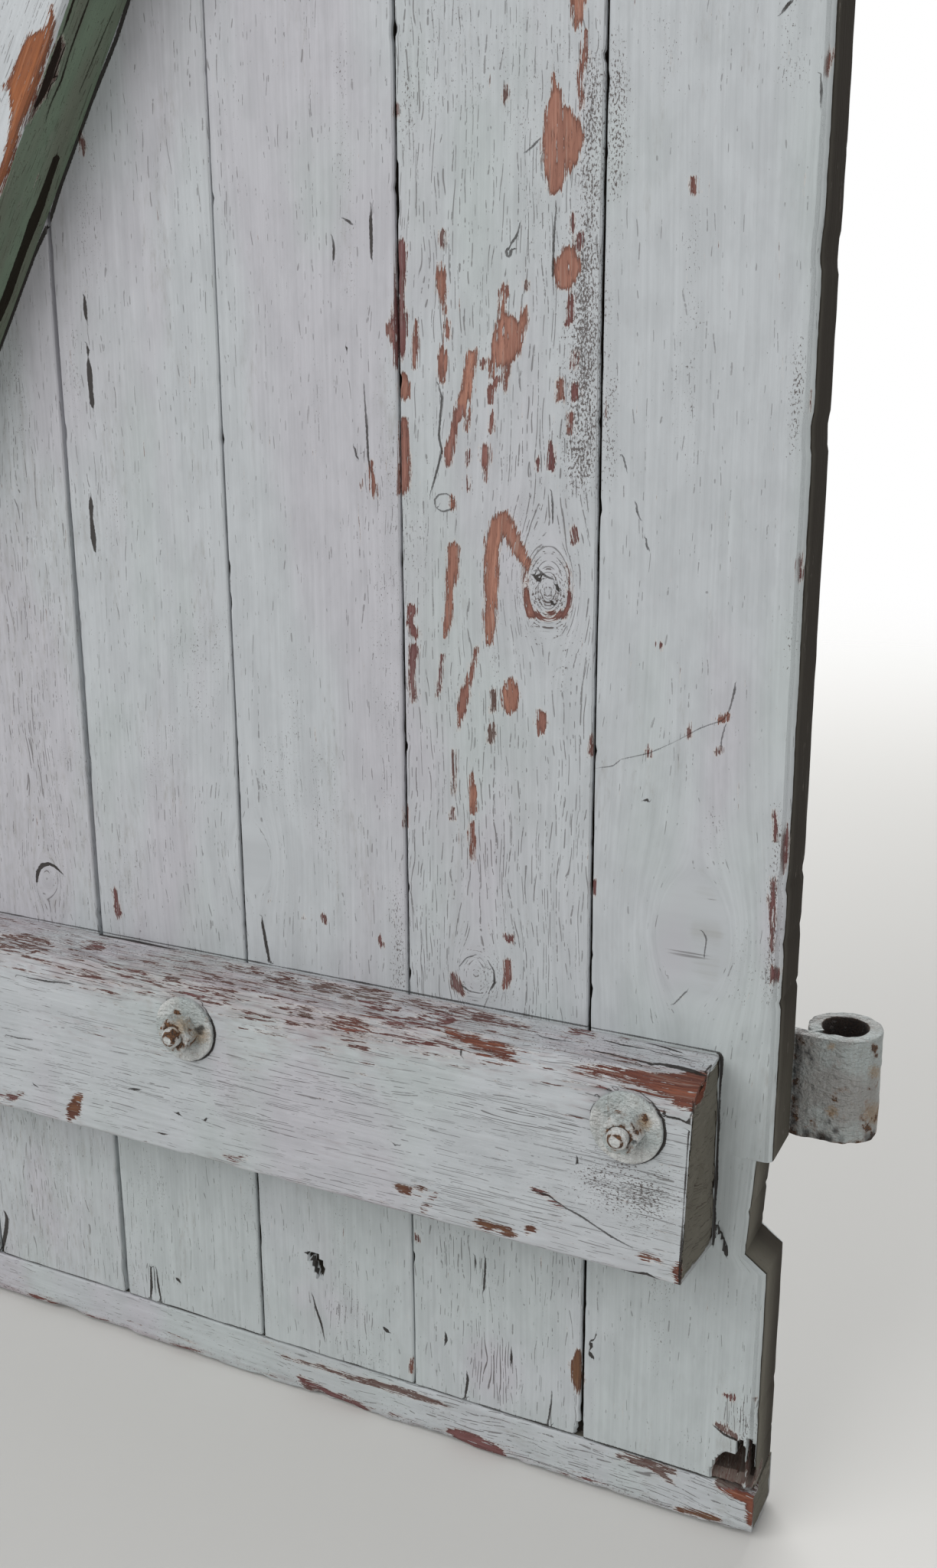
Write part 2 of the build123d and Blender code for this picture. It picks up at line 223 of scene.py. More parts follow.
BOARD_PEELS = {
    "top strip": (CLAY, [(756, -8, 24), (756, 16, 15), (755, 36, 6)]),
    "top strip tail": (0.2, [(765, 40, 4), (763, 75, 9), (758, 100, 6), (760, 140, 4)]),
    "big peel spike": (CLAY, [(721, 97, 2), (727, 121, 11)]),
    "big peel": (0.1, [(726, 124, 16), (725, 150, 27), (726, 180, 36), (725, 205, 35), (727, 228, 26), (724, 246, 16)]),
    "big peel lobe": (CLAY, [(736, 148, 18), (746, 163, 22), (749, 184, 28), (746, 204, 22), (745, 217, 9)]),
    "teardrop": (0.8, [(660, 114, 5), (660, 124, 7), (660, 132, 3)]),
    "joint dot": (0.4, [(517, 138, 7), (517, 149, 8)]),
    "joint peel": (0.55, [(524, 321, 14), (523, 345, 14), (521, 372, 13), (521, 400, 15), (522, 430, 20)]),
    "joint peel foot": (0.4, [(522, 430, 20), (521, 455, 15), (518, 478, 7)]),
    "joint peel chip": (0.3, [(506, 420, 4), (510, 433, 11), (514, 446, 6)]),
    "joint dome": (0.1, [(527, 490, 6), (528, 503, 15), (528, 515, 13)]),
    "joint low peel": (0.2, [(527, 549, 9), (528, 575, 14), (528, 605, 16), (527, 634, 15), (523, 645, 7)]),
    "bracket": (0.4, [(538, 796, 12), (535, 812, 7), (541, 827, 13)]),
    "joint red strip": (0.6, [(540, 846, 12), (539, 868, 9), (537, 889, 9), (540, 905, 8), (540, 915, 5)]),
    "joint low chip": (0.6, [(531, 1056, 6), (530, 1078, 6)]),
    "upper dash": (0.7, [(578, 303, 5), (578, 321, 7)]),
    "lozenge": (0.1, [(576, 343, 4), (576, 360, 13), (577, 380, 12), (579, 396, 5), (580, 411, 3)]),
    "bead": (0.2, [(584, 420, 6), (584, 438, 8)]),
    "slim drip": (0.2, [(543, 420, 3), (542, 455, 10), (541, 470, 8), (541, 481, 2)]),
    "short drip": (0.15, [(578, 453, 5), (579, 470, 12), (577, 498, 7)]),
    "small dot": (0.8, [(687, 370, 6), (687, 376, 6)]),
    "small drop": (0.3, [(630, 474, 7), (630, 479, 6)]),
    "slant peel": (CLAY, [(622, 458, 4), (616, 466, 15), (613, 480, 12), (610, 510, 14), (603, 530, 17)]),
    "slant peel foot": (0.25, [(603, 530, 17), (595, 550, 9), (591, 570, 8), (586, 586, 14), (585, 606, 8)]),
    "slant peel leg": (0.2, [(612, 536, 6), (610, 560, 5)]),
    "loop": (0.2, [(654, 398, 4), (655, 380, 6), (660, 373, 5), (663, 385, 4)]),
    "loop stem": (CLAY, [(656, 384, 7), (656, 412, 9)]),
    "hand": (0.1, [(657, 414, 12), (662, 428, 30), (664, 442, 42), (659, 456, 36), (655, 468, 22)]),
    "hand thumb": (CLAY, [(686, 402, 6), (684, 420, 12), (676, 436, 16)]),
    "hand left finger": (0.1, [(642, 470, 9), (643, 491, 7)]),
    "hand right finger": (0.2, [(662, 470, 9), (662, 511, 5)]),
    "hand trail": (0.3, [(650, 495, 7), (640, 512, 8), (641, 525, 6)]),
    "trail drop": (0.3, [(642, 541, 5), (641, 561, 7)]),
    "shield": (0.3, [(634, 588, 13), (634, 602, 12), (634, 612, 6), (634, 629, 3)]),
    "nail peel": (0.1, [(591, 649, 6), (591, 661, 7)]),
    "band dash": (0.6, [(748, 282, 5), (748, 299, 5)]),
    "band chip": (0.5, [(757, 309, 12), (757, 321, 9)]),
    "band core": (0.1, [(742, 333, 20), (741, 350, 36), (738, 366, 24)]),
    "band drip": (0.4, [(746, 388, 7), (746, 416, 6), (740, 424, 4)]),
    "band drop": (0.4, [(750, 462, 8), (750, 478, 6)]),
    "band oval": (0.2, [(732, 500, 10), (732, 520, 11)]),
    "band oval right": (0.4, [(750, 507, 13), (751, 518, 12)]),
    "band small oval": (0.3, [(745, 542, 9), (745, 563, 8)]),
    "band slip": (0.5, [(720, 580, 8), (720, 610, 10)]),
    "band low dot": (0.5, [(703, 602, 5), (703, 614, 5)]),
    "band low chip": (0.4, [(750, 692, 8), (750, 708, 7)]),
    "red slip": (0.6, [(612, 592, 4), (611, 607, 4)]),
    "red slip low": (0.6, [(610, 622, 4), (610, 639, 4)]),
    "arch left": (CLAY, [(638, 836, 11), (640, 815, 16), (641, 790, 18), (642, 740, 19), (643, 710, 19), (650, 686, 21)]),
    "arch right": (0.1, [(650, 686, 21), (658, 678, 19), (667, 698, 19), (677, 718, 17), (688, 737, 11)]),
    "arch side strip": (0.1, [(592, 716, 15), (591, 740, 14), (588, 770, 11), (585, 810, 11), (582, 831, 5)]),
    "knot left rim": (0.2, [(687, 738, 5), (686, 765, 7), (689, 785, 7), (693, 800, 13)]),
    "knot low rim": (0.3, [(694, 801, 11), (712, 806, 6), (735, 802, 11), (743, 792, 6)]),
    "knot right rim": (0.4, [(741, 738, 3), (745, 765, 4), (742, 790, 6)]),
    "thin slip": (0.6, [(578, 857, 4), (575, 880, 4), (571, 908, 3)]),
    "long slip": (0.2, [(624, 845, 3), (618, 865, 6), (613, 885, 7), (608, 905, 13), (603, 925, 12), (598, 953, 3)]),
    "grey slip": (ASH, [(644, 902, 6), (644, 928, 7)]),
    "egg": (CLAY, [(667, 891, 12), (666, 906, 24), (666, 920, 20), (664, 929, 9)]),
    "small shield": (0.2, [(707, 934, 13), (707, 945, 16), (706, 957, 7)]),
    "dark drop": (0.9, [(643, 948, 6), (642, 958, 11), (640, 968, 7)]),
    "joint chip": (0.3, [(772, 962, 6), (772, 983, 8)]),
    "olive thread": (0.8, [(593, 982, 4), (593, 1010, 5), (593, 1038, 3)]),
    "low strip": (CLAY, [(616, 1011, 5), (617, 1035, 10), (617, 1060, 8)]),
    "low strip foot": (0.2, [(617, 1077, 7), (617, 1100, 9), (616, 1121, 5)]),
    "mauve dash": (0.7, [(591, 1056, 5), (591, 1069, 5)]),
    "chevron": (0.5, [(660, 1222, 5), (666, 1229, 7), (670, 1222, 4)]),
    "disc left": (0.7, [(592, 1273, 7), (596, 1286, 14), (604, 1297, 8)]),
    "disc right": (0.3, [(663, 1257, 9), (663, 1275, 10), (660, 1289, 6)]),
    "joint red chip": (0.5, [(774, 1152, 6), (774, 1168, 7)]),
    "slit chip": (0.2, [(484, 604, 4), (485, 620, 6), (487, 633, 9), (489, 647, 7)]),
    "slit chip side": (0.3, [(473, 630, 4), (473, 638, 4)]),
    "fly": (0.7, [(422, 1196, 6), (424, 1202, 8)]),
    "red dot": (0.6, [(496, 1226, 7), (500, 1236, 5)]),
    "faint dot": (0.9, [(396, 1197, 4), (396, 1199, 4)]),
    "red mark": (0.6, [(149, 1160, 4), (153, 1182, 7), (154, 1194, 9)]),
    "brace seam chip": (0.7, [(104, 172, 5), (107, 186, 7), (108, 200, 4)]),
    "small flag": (0.3, [(904, 236, 8), (903, 252, 5)]),
    "small flag tip": (0.3, [(908, 247, 8), (914, 249, 4)]),
    "edge chip top": (0.2, [(1088, 60, 6), (1085, 80, 13), (1080, 98, 5)]),
    "edge chip middle": (0.4, [(1064, 512, 5), (1062, 530, 8), (1060, 556, 4)]),
    "edge chip low": (0.5, [(1047, 728, 7), (1049, 745, 11), (1048, 758, 9)]),
    "edge peel": (0.5, [(1031, 1078, 6), (1029, 1095, 13), (1027, 1120, 14), (1026, 1140, 7)]),
    "edge inner line": (0.6, [(1012, 1062, 6), (1014, 1080, 4), (1013, 1098, 4)]),
    "edge inner line low": (0.6, [(1011, 1150, 6), (1008, 1180, 6), (1010, 1214, 7), (1008, 1240, 4)]),
    "edge foot peel": (0.5, [(1008, 1262, 5), (1012, 1272, 14), (1020, 1270, 10), (1009, 1284, 5)]),
    "scratch chip": (0.4, [(845, 978, 6), (849, 985, 8)]),
    "scratch dot": (0.4, [(900, 951, 6), (900, 961, 6)]),
    "scratch head": (0.2, [(937, 943, 6), (945, 939, 12), (952, 933, 6)]),
    "scratch spur": (0.7, [(936, 983, 6), (943, 978, 6)]),
    "seed": (0.6, [(861, 839, 4), (864, 846, 5)]),
    "foot joint peel": (UMBER, [(756, 1766, 7), (753, 1784, 16), (754, 1802, 15), (758, 1820, 6)]),
    "foot joint spot": (0.2, [(538, 1776, 4), (537, 1790, 7)]),
    "foot red dot": (0.7, [(544, 1614, 5), (546, 1619, 6)]),
    "corner wedge": (0.8, [(936, 1861, 5), (946, 1866, 13), (956, 1874, 9), (961, 1879, 4)]),
    "corner dash": (0.5, [(946, 1821, 4), (956, 1826, 8)]),
    "corner nick": (0.9, [(986, 1829, 5), (995, 1836, 5)]),
}

RAIL_PEELS = {
    "joint line": (0.85, [(366, 1770, 2), (400, 1781, 4), (432, 1790, 4), (462, 1800, 6), (495, 1809, 9), (522, 1817, 9), (560, 1829, 7), (584, 1836, 3)]),
    "middle patch": (0.42, [(586, 1870, 8), (602, 1877, 17), (622, 1885, 20), (642, 1893, 17), (657, 1901, 8)]),
    "left patch": (0.5, [(392, 1802, 7), (412, 1812, 9), (432, 1823, 11), (452, 1832, 16), (468, 1838, 13), (482, 1846, 5)]),
    "left chip": (0.8, [(398, 1812, 6), (412, 1818, 8)]),
    "right streak": (0.85, [(808, 1902, 5), (830, 1908, 9), (850, 1915, 10), (866, 1926, 8), (878, 1938, 4)]),
    "foot streak": (-1.0, [(885, 1972, 6), (910, 1978, 9), (938, 1985, 7)]),
    "broken corner": (CLAY, [(938, 1942, 4), (948, 1947, 9), (960, 1951, 14), (972, 1954, 16), (988, 1955, 16)]),
    "seam streak": (0.9, [(845, 1908, 5), (862, 1916, 7), (880, 1923, 5)]),
    "end peel": (0.1, [(981, 1962, 12), (981, 1978, 12), (980, 1990, 7)]),
    "far left chip": (0.3, [(60, 1700, 4), (75, 1705, 5)]),
}

LEDGE_PEELS = {
    "left streak": (0.8, [(-10, 1224, 15), (20, 1226, 18), (42, 1231, 17), (60, 1236, 8)]),
    "left low streak": (0.8, [(0, 1236, 6), (25, 1238, 5)]),
    "pink chip": (0.6, [(108, 1230, 5), (120, 1233, 11), (132, 1236, 6)]),
    "corner chip": (0.7, [(152, 1262, 4), (170, 1266, 9), (188, 1272, 9), (200, 1275, 4)]),
    "corner dark chip": (0.9, [(203, 1271, 4), (218, 1274, 9), (236, 1277, 3)]),
    "corner red chip": (0.5, [(247, 1286, 8), (260, 1287, 7), (270, 1297, 3)]),
    "short chip": (0.8, [(283, 1275, 6), (300, 1277, 4)]),
    "top streak": (0.8, [(300, 1262, 6), (330, 1267, 10), (352, 1272, 5)]),
    "long streak": (0.9, [(355, 1278, 6), (400, 1284, 12), (440, 1291, 12), (468, 1295, 18), (495, 1301, 13)]),
    "long streak tail": (0.6, [(470, 1300, 10), (490, 1309, 13), (514, 1316, 7)]),
    "dark seam": (0.9, [(392, 1321, 4), (405, 1323, 8), (425, 1322, 5), (440, 1328, 4)]),
    "brown chip": (0.2, [(441, 1330, 4), (456, 1334, 14), (478, 1331, 10), (492, 1332, 3)]),
    "red mass": (0.5, [(514, 1329, 10), (545, 1331, 15), (575, 1328, 15), (602, 1325, 12)]),
    "red low mass": (0.45, [(500, 1340, 4), (530, 1348, 8), (560, 1352, 10), (584, 1356, 5)]),
    "upper band": (0.75, [(540, 1307, 9), (575, 1316, 13), (610, 1324, 15), (650, 1332, 13), (688, 1341, 5)]),
    "orange strip": (0.1, [(586, 1344, 7), (610, 1353, 14), (640, 1363, 17), (660, 1371, 20), (680, 1379, 7)]),
    "orange strip tail": (0.4, [(690, 1381, 4), (708, 1383, 9), (730, 1386, 4)]),
    "corner peel": (0.15, [(742, 1389, 5), (765, 1394, 12), (792, 1398, 15), (830, 1404, 19), (862, 1410, 24)]),
    "corner peel head": (0.1, [(862, 1410, 24), (888, 1412, 34), (912, 1412, 38)]),
    "corner peel tongue": (0.15, [(872, 1428, 16), (888, 1436, 24), (901, 1442, 22), (907, 1456, 8)]),
    "top dark scrap": (0.8, [(820, 1352, 8), (832, 1352, 5)]),
    "joint scrap": (0.6, [(740, 1348, 7), (765, 1345, 9), (775, 1352, 4)]),
    "end scrap": (0.8, [(880, 1364, 5), (900, 1369, 5)]),
    "foot rust": (-0.65, [(90, 1460, 9), (96, 1449, 18), (100, 1440, 14), (104, 1432, 8)]),
    "foot left chips": (0.5, [(-8, 1430, 9), (16, 1434, 10), (30, 1428, 3)]),
    "foot scrap": (0.5, [(292, 1510, 6), (310, 1514, 7), (322, 1512, 4)]),
    "rust spot": (-0.8, [(523, 1552, 11), (532, 1553, 12)]),
    "rust twin": (-0.8, [(546, 1551, 6), (552, 1553, 7)]),
    "rust tail": (0.7, [(570, 1562, 4), (561, 1571, 7), (552, 1580, 5)]),
    "rust bar": (-0.85, [(622, 1598, 7), (636, 1601, 14), (646, 1602, 6)]),
    "rust bar right": (-0.9, [(653, 1604, 8), (662, 1609, 13), (672, 1613, 7)]),
    "rust bar dot": (-0.8, [(689, 1607, 9), (695, 1607, 9)]),
    "long crack head": (0.5, [(697, 1553, 4), (715, 1563, 7), (735, 1577, 5)]),
    "rust smear": (-0.4, [(838, 1641, 8), (848, 1643, 10), (862, 1647, 5)]),
    "broken foot corner": (CLAY, [(888, 1654, 8), (887, 1664, 17), (886, 1676, 10)]),
}

BRACE_PEELS = {
    "arris peel top": (CLAY, [(66, 10, 5), (67, 30, 9), (60, 46, 15), (46, 62, 30), (37, 84, 31), (28, 112, 34)]),
    "arris peel": (CLAY, [(28, 112, 34), (25, 136, 24), (19, 160, 13), (14, 190, 13), (9, 210, 12), (1, 232, 13)]),
    "arris peel foot": (CLAY, [(1, 232, 13), (-8, 252, 10)]),
    "arris peel tip": (CLAY, [(14, 112, 8), (4, 115, 3)]),
}

BRACE_SIDE_PEELS = {
    "side chip": (ASH, [(80, 48, 4), (78, 64, 12), (70, 85, 13), (65, 102, 15), (58, 120, 11), (47, 140, 6), (38, 158, 4)]),
}

BRACE_SIDE_CRACKS = {
    "side strip": [(74, 206, 11), (64, 235, 12), (52, 270, 15), (44, 290, 17), (33, 320, 14), (22, 350, 14)],
    "side strip foot": [(22, 350, 14), (10, 385, 15), (-4, 418, 15)],
    "side line": [(118, -5, 2), (105, 30, 3), (90, 72, 2), (80, 106, 3), (68, 132, 2), (60, 156, 1)],
    "arris line": [(97, 0, 3), (90, 22, 4), (84, 40, 2)],
    "side chip shade": [(79, 50, 4), (76, 66, 11), (69, 85, 12), (64, 101, 13), (57, 121, 10), (46, 141, 5)],
    "side crack": [(150, 10, 1), (128, 62, 2), (104, 120, 1)],
}

# Besides cracks: the brace seam chains are painted shade along the brace's side, and the knot hole and end hole shades
# are painted shade in the holes.
BOARD_CRACKS = {
    "nail crack": [(668, 318, 3), (675, 308, 3), (680, 290, 1)],
    "peel crack": [(704, 182, 2), (697, 190, 3), (686, 200, 1)],
    "band crack": [(727, 268, 1), (724, 300, 3), (722, 360, 3)],
    "long dark crack": [(572, 500, 1), (577, 520, 3), (573, 570, 3), (577, 590, 3), (568, 625, 3), (562, 645, 1)],
    "lower crack": [(720, 640, 1), (722, 660, 3), (722, 682, 1)],
    "black slit top": [(110, 386, 2), (111, 402, 7), (113, 420, 2)],
    "black slit dot": [(113, 450, 1), (115, 458, 5), (115, 466, 1)],
    "black slit": [(115, 470, 4), (117, 486, 9), (118, 503, 8), (119, 513, 6), (120, 524, 9), (121, 533, 3)],
    "black slit low": [(118, 648, 3), (119, 664, 8), (119, 674, 4), (120, 684, 6), (122, 704, 9), (124, 720, 3)],
    "long slit": [(485, 268, 1), (484, 290, 5), (485, 312, 5), (485, 337, 3)],
    "short slit": [(434, 308, 1), (436, 325, 4), (435, 340, 3)],
    "comma": [(450, 286, 2), (455, 289, 4), (459, 293, 2)],
    "grain slit": [(475, 500, 1), (479, 560, 3), (481, 600, 3), (484, 615, 1)],
    "dot": [(453, 456, 4), (453, 459, 4)],
    "small slit": [(463, 584, 2), (465, 592, 4), (466, 598, 2)],
    "foot slit": [(342, 1200, 3), (343, 1208, 4), (345, 1218, 4), (348, 1236, 5), (352, 1256, 3)],
    "crescent": [(48, 1155, 2), (48, 1141, 5), (54, 1131, 6), (64, 1128, 4), (74, 1134, 4), (82, 1142, 1)],
    "disc rim top": [(600, 1262, 1), (608, 1252, 1.5), (620, 1248, 1)],
    "disc rim right": [(638, 1256, 1), (645, 1268, 2), (646, 1284, 3.5), (640, 1294, 2)],
    "disc rim foot": [(627, 1298, 1), (613, 1295, 1.5), (604, 1288, 2)],
    "brace seam": [(171, -10, 6), (152, 50, 6), (118, 135, 6), (98, 190, 6), (78, 245, 6), (64, 290, 6)],
    "brace seam foot": [(64, 290, 6), (45, 332, 5), (20, 400, 5), (-2, 458, 5)],
    "knot spot left": [(698, 752, 5), (704, 758, 6)],
    "knot spot right": [(727, 764, 4), (729, 770, 5)],
    "knot spot low": [(721, 787, 5), (723, 789, 4)],
    "knot line": [(703, 744, 2), (712, 752, 3), (722, 756, 2)],
    "scratch": [(776, 1004, 0.5), (800, 1001, 1), (812, 992, 0.7), (848, 984, 1), (880, 970, 0.6), (915, 951, 1), (944, 941, 1)],
    "scratch upper": [(950, 935, 1), (955, 921, 2), (960, 900, 3), (961, 894, 1)],
    "scratch lower": [(948, 945, 1), (943, 962, 2), (942, 976, 2)],
    "slant chips": [(812, 594, 1), (816, 602, 3), (818, 614, 1)],
    "slant chips low": [(831, 655, 1), (832, 668, 3), (836, 678, 1)],
    "slant dash": [(844, 704, 2), (845, 714, 3), (847, 719, 1)],
    "thumb mark": [(1035, 0, 3), (1028, 8, 6), (1021, 17, 2)],
    "edge crack": [(1072, 100, 2), (1073, 118, 4), (1072, 140, 1)],
    "seed dot": [(844, 1045, 5), (846, 1045, 5)],
    "swirl one": [(880, 1312, 1), (890, 1302, 2), (898, 1294, 1)],
    "swirl two": [(917, 1216, 1), (923, 1224, 2), (920, 1250, 1)],
    "foot crack": [(721, 1818, 1), (719, 1840, 3), (714, 1868, 2)],
    "foot dash": [(582, 1741, 2), (583, 1749, 5), (581, 1757, 1)],
    "foot dash two": [(634, 1642, 2), (634, 1652, 3), (632, 1684, 3), (631, 1688, 1)],
    "foot dash three": [(620, 1640, 1), (621, 1648, 3), (621, 1656, 1)],
    "foot dash four": [(668, 1765, 2), (668, 1775, 4), (667, 1785, 1)],
    "foot dash five": [(610, 1794, 2), (611, 1802, 4), (606, 1835, 2)],
    "foot fork": [(408, 1690, 1), (413, 1710, 3), (420, 1730, 3), (424, 1750, 1)],
    "foot dot": [(503, 1736, 7), (506, 1739, 6)],
    "knot hole shade": [(402, 1637, 6), (409, 1644, 13), (415, 1655, 16), (417, 1667, 9)],
    "end hole shade": [(937, 1601, 3), (941, 1615, 10), (946, 1630, 12), (949, 1640, 5)],
    "left stain shade": [(6, 1582, 2), (9, 1592, 5), (8, 1606, 6), (5, 1622, 5), (3, 1634, 2)],
    "foot left dot": [(232, 1671, 5), (234, 1673, 5)],
    "foot line left": [(197, 1655, 2), (198, 1680, 4), (197, 1695, 2)],
    "foot line right": [(204, 1655, 1), (207, 1680, 3), (211, 1700, 2)],
    "joint dots": [(771, 1755, 6), (773, 1758, 7)],
    "joint dots low": [(770, 1767, 6), (773, 1773, 7)],
    "joint dot top": [(778, 1744, 3), (777, 1747, 3)],
    "splinter right": [(984, 1908, 5), (990, 1915, 6), (999, 1922, 4)],
    "wedge shade": [(933, 1863, 2), (946, 1874, 4), (961, 1881, 4)],
    "nail ring": [(570, 664, 1), (567, 654, 2), (573, 646, 2), (584, 645, 1), (591, 651, 1)],
    "nail ring foot": [(570, 664, 1), (579, 669, 2), (589, 665, 2)],
    "peeled nail": [(661, 327, 3), (665, 324, 3), (669, 330, 3), (666, 336, 3), (661, 333, 2)],
}

LEDGE_CRACKS = {
    "washer crack": [(866, 1459, 3), (876, 1461, 5), (890, 1464, 5), (903, 1470, 3)],
    "peel shade": [(838, 1390, 2), (862, 1388, 5), (888, 1393, 6), (910, 1399, 5), (922, 1404, 3)],
    "top crack": [(766, 1370, 1), (790, 1374, 2), (815, 1380, 1), (840, 1385, 2), (862, 1390, 1)],
    "top crack two": [(790, 1358, 1), (812, 1364, 2), (845, 1370, 1), (880, 1378, 2), (905, 1385, 1)],
    "top crack three": [(700, 1350, 1), (722, 1356, 2), (748, 1360, 1)],
    "top crack four": [(846, 1362, 1), (870, 1368, 2), (893, 1375, 1)],
    "long crack": [(696, 1555, 1), (714, 1562, 4), (735, 1576, 2), (758, 1588, 3), (780, 1603, 2), (798, 1615, 3), (824, 1629, 1)],
    "left crack": [(8, 1352, 1), (24, 1356, 2), (42, 1358, 1)],
    "left top crack": [(20, 1275, 1), (60, 1282, 3), (90, 1285, 1)],
    "joint seam": [(132, 1219, 5), (155, 1224, 4), (190, 1232, 3), (230, 1240, 1)],
    "front dash": [(168, 1422, 1), (178, 1423, 4), (184, 1424, 1)],
    "front dot": [(230, 1453, 5), (236, 1456, 5)],
    "front dot two": [(266, 1463, 4), (269, 1463, 4)],
    "front dot three": [(45, 1417, 4), (47, 1419, 4)],
    "rust trail": [(206, 1479, 1), (212, 1481, 3), (219, 1482, 1)],
    "middle dashes": [(500, 1361, 1), (512, 1361, 4), (520, 1362, 1)],
    "dark comma": [(598, 1370, 3), (602, 1377, 5), (603, 1381, 1)],
    "lower comma": [(512, 1493, 1), (518, 1497, 3), (521, 1496, 1)],
    "dot right": [(754, 1512, 3), (754, 1519, 4)],
    "foot seam right": [(808, 1659, 4), (820, 1662, 4), (845, 1664, 4), (862, 1674, 3)],
    "seam over washer": [(776, 1433, 2), (790, 1426, 4), (800, 1421, 2)],
}

# Holes in the boards, with their depth in millimetres.
BOARD_PITS = {
    "knot hole": (6.0, [(404, 1640, 5), (411, 1646, 11), (416, 1656, 13), (417, 1665, 8)]),
    "end hole": (1.6, [(938, 1604, 5), (941, 1618, 8), (946, 1632, 8)]),
    "edge pit": (2.5, [(1012, 1210, 5), (1013, 1222, 6)]),
    "joint foot": (4.0, [(757, 1862, 7), (755, 1878, 12)]),
}

# Knots that the grain flows round: a point of the photograph, the radius and the relief in millimetres.
BOARD_KNOTS = {
    "ringed knot": (716, 770, 9.0, 0.3),
    "sound knot": (905, 1225, 13.0, 0.0),
    "low knot": (330, 1120, 8.0, 0.0),
    "left knot": (62, 1146, 5.5, 0.5),
    "plug": (622, 1273, 6.5, 0.25),
}


def srgb(red, green, blue):
    """Scene colour for one given in levels from 0 to 255."""
    levels = (level / 255 for level in (red, green, blue))
    return tuple(level / 12.92 if level <= 0.04045 else ((level + 0.055) / 1.055) ** 2.4 for level in levels)


def colour(name, description, red, green, blue):
    """Property for a colour that the user can change."""
    default = srgb(red, green, blue)
    return FloatVectorProperty(
        name=name, description=description, subtype="COLOR", size=3, min=0.0, max=1.0, default=default
    )


def length(name, description, millimetres):
    """Property for a length that the user can change."""
    return FloatProperty(
        name=name, description=description, unit="LENGTH", subtype="DISTANCE", min=0.0, default=millimetres * MM
    )


def factor(name, description, value, high=1.0):
    """Property for a share or an amount that the user can change."""
    return FloatProperty(name=name, description=description, subtype="FACTOR", min=0.0, max=high, default=value)


class ShutterSizes(bpy.types.PropertyGroup):
    """Sizes of the worn surface"""
    board_step: length("Board detail", "Distance between mesh points across a board", 1.0)
    ledge_step: length("Ledge detail", "Distance between mesh points round a ledge", 1.1)
    joint_wander: length("Joint wander", "How far the edges of the joints stray from straight", 0.3)
    surface_wave: length("Surface wave", "Height of the waves that age has left in the boards", 0.18)
    ledge_wear: length("Ledge wear", "Depth of the splintered wear on the ledge's upper corner", 1.5)
    paint_lumps: length("Paint lumps", "Height of the brush lumps in the paint on the iron", 0.28)
    paint_step: length("Paint step", "Height of a paint edge over bare wood, for shading", 0.3)


class ShutterColours(bpy.types.PropertyGroup):
    """Colours of the paint, the wood and the iron"""
    paint: colour("Paint", "Pale blue grey paint", 183, 187, 190)
    mauve: colour("Mauve tint", "Paint where it has faded to mauve", 181, 175, 183)
    green: colour("Green tint", "Paint where it has faded to green grey", 176, 184, 183)
    lip: colour("Paint lip", "Undercoat at the edge of a peeled place", 205, 194, 186)
    grime: colour("Grime", "Dirt that settles on the paint", 140, 136, 130)
    crack: colour("Crack", "Dirt in the cracks of the paint", 66, 58, 54)
    clay_wood: colour("Orange wood", "Bare wood with an orange cast", 174, 126, 108)
    deep_wood: colour("Deep wood", "Darker bare wood of the ledges", 134, 80, 58)
    brace_wood: colour("Brace wood", "Bare wood of the brace", 158, 98, 62)
    umber: colour("Umber wood", "Bare wood stained dark brown", 112, 82, 58)
    red_wood: colour("Red wood", "Bare wood stained red", 124, 87, 88)
    ash_wood: colour("Grey wood", "Bare wood gone grey", 112, 106, 100)
    # Stain and painted shadow: the dark band just inside each paint edge also stands for the shadow cast by the paint
    # layer.
    rim: colour("Peel rim", "Stained wood along the edge of the paint", 80, 48, 43)
    # Dirt and painted shade: the dirty edge colour is set darker than weathered wood alone, for the shade on the
    # boards' side faces.
    edge: colour("Dirty edge", "Weathered face of the hinge edge", 53, 49, 44)
    # Weathering and painted shade: the end grain colour is set darker for the shade on the sawn ends.
    end_grain_and_shade: colour("End grain", "Weathered ends of the rails and ledges", 106, 103, 94)
    brace_green: colour("Green side", "Older green paint on the side of the brace", 112, 127, 110)
    rust: colour("Rust", "Rust on the iron", 126, 86, 54)
    dark_rust: colour("Dark rust", "Old, dark rust", 66, 50, 40)
    # Open cracks, and painted shade: this colour also darkens the chains drawn for shade in gaps, hollows and under
    # washer rims.
    slit: colour("Open crack", "Bottom of the wide cracks", 32, 25, 20)
    # Dirt and painted shade: inside the eyes, in the nut's hole and along the eye's seam.
    dirt_and_shade: colour("Dark bore", "Dirt inside the eyes", 20, 18, 17)
    ochre: colour("Ochre rust", "Yellow rust that stains the paint on the iron", 150, 116, 66)
    # Dirt and painted shade: the strap paint is set darker than the paint on the washers and nuts.
    dirty_shaded_strap_paint: colour("Strap paint", "Dirty paint on the hinges", 158, 158, 155)
    iron_paint: colour("Iron paint", "Paint on the washers and nuts", 206, 208, 206)
    nail: colour("Nail iron", "Painted over nail heads", 150, 150, 148)


class ShutterFinish(bpy.types.PropertyGroup):
    """How worn the paint is"""
    cracking: factor("Cracking", "Share of the paint with hair cracks", 0.6)
    flaking: factor("Flaking", "How much paint has come off the ledge's upper corner", 0.62)
    raggedness: factor("Raggedness", "How ragged the edges of the peeled places are", 0.75, 2.0)
    soiling: factor("Soiling", "How much grime the paint carries", 0.4)


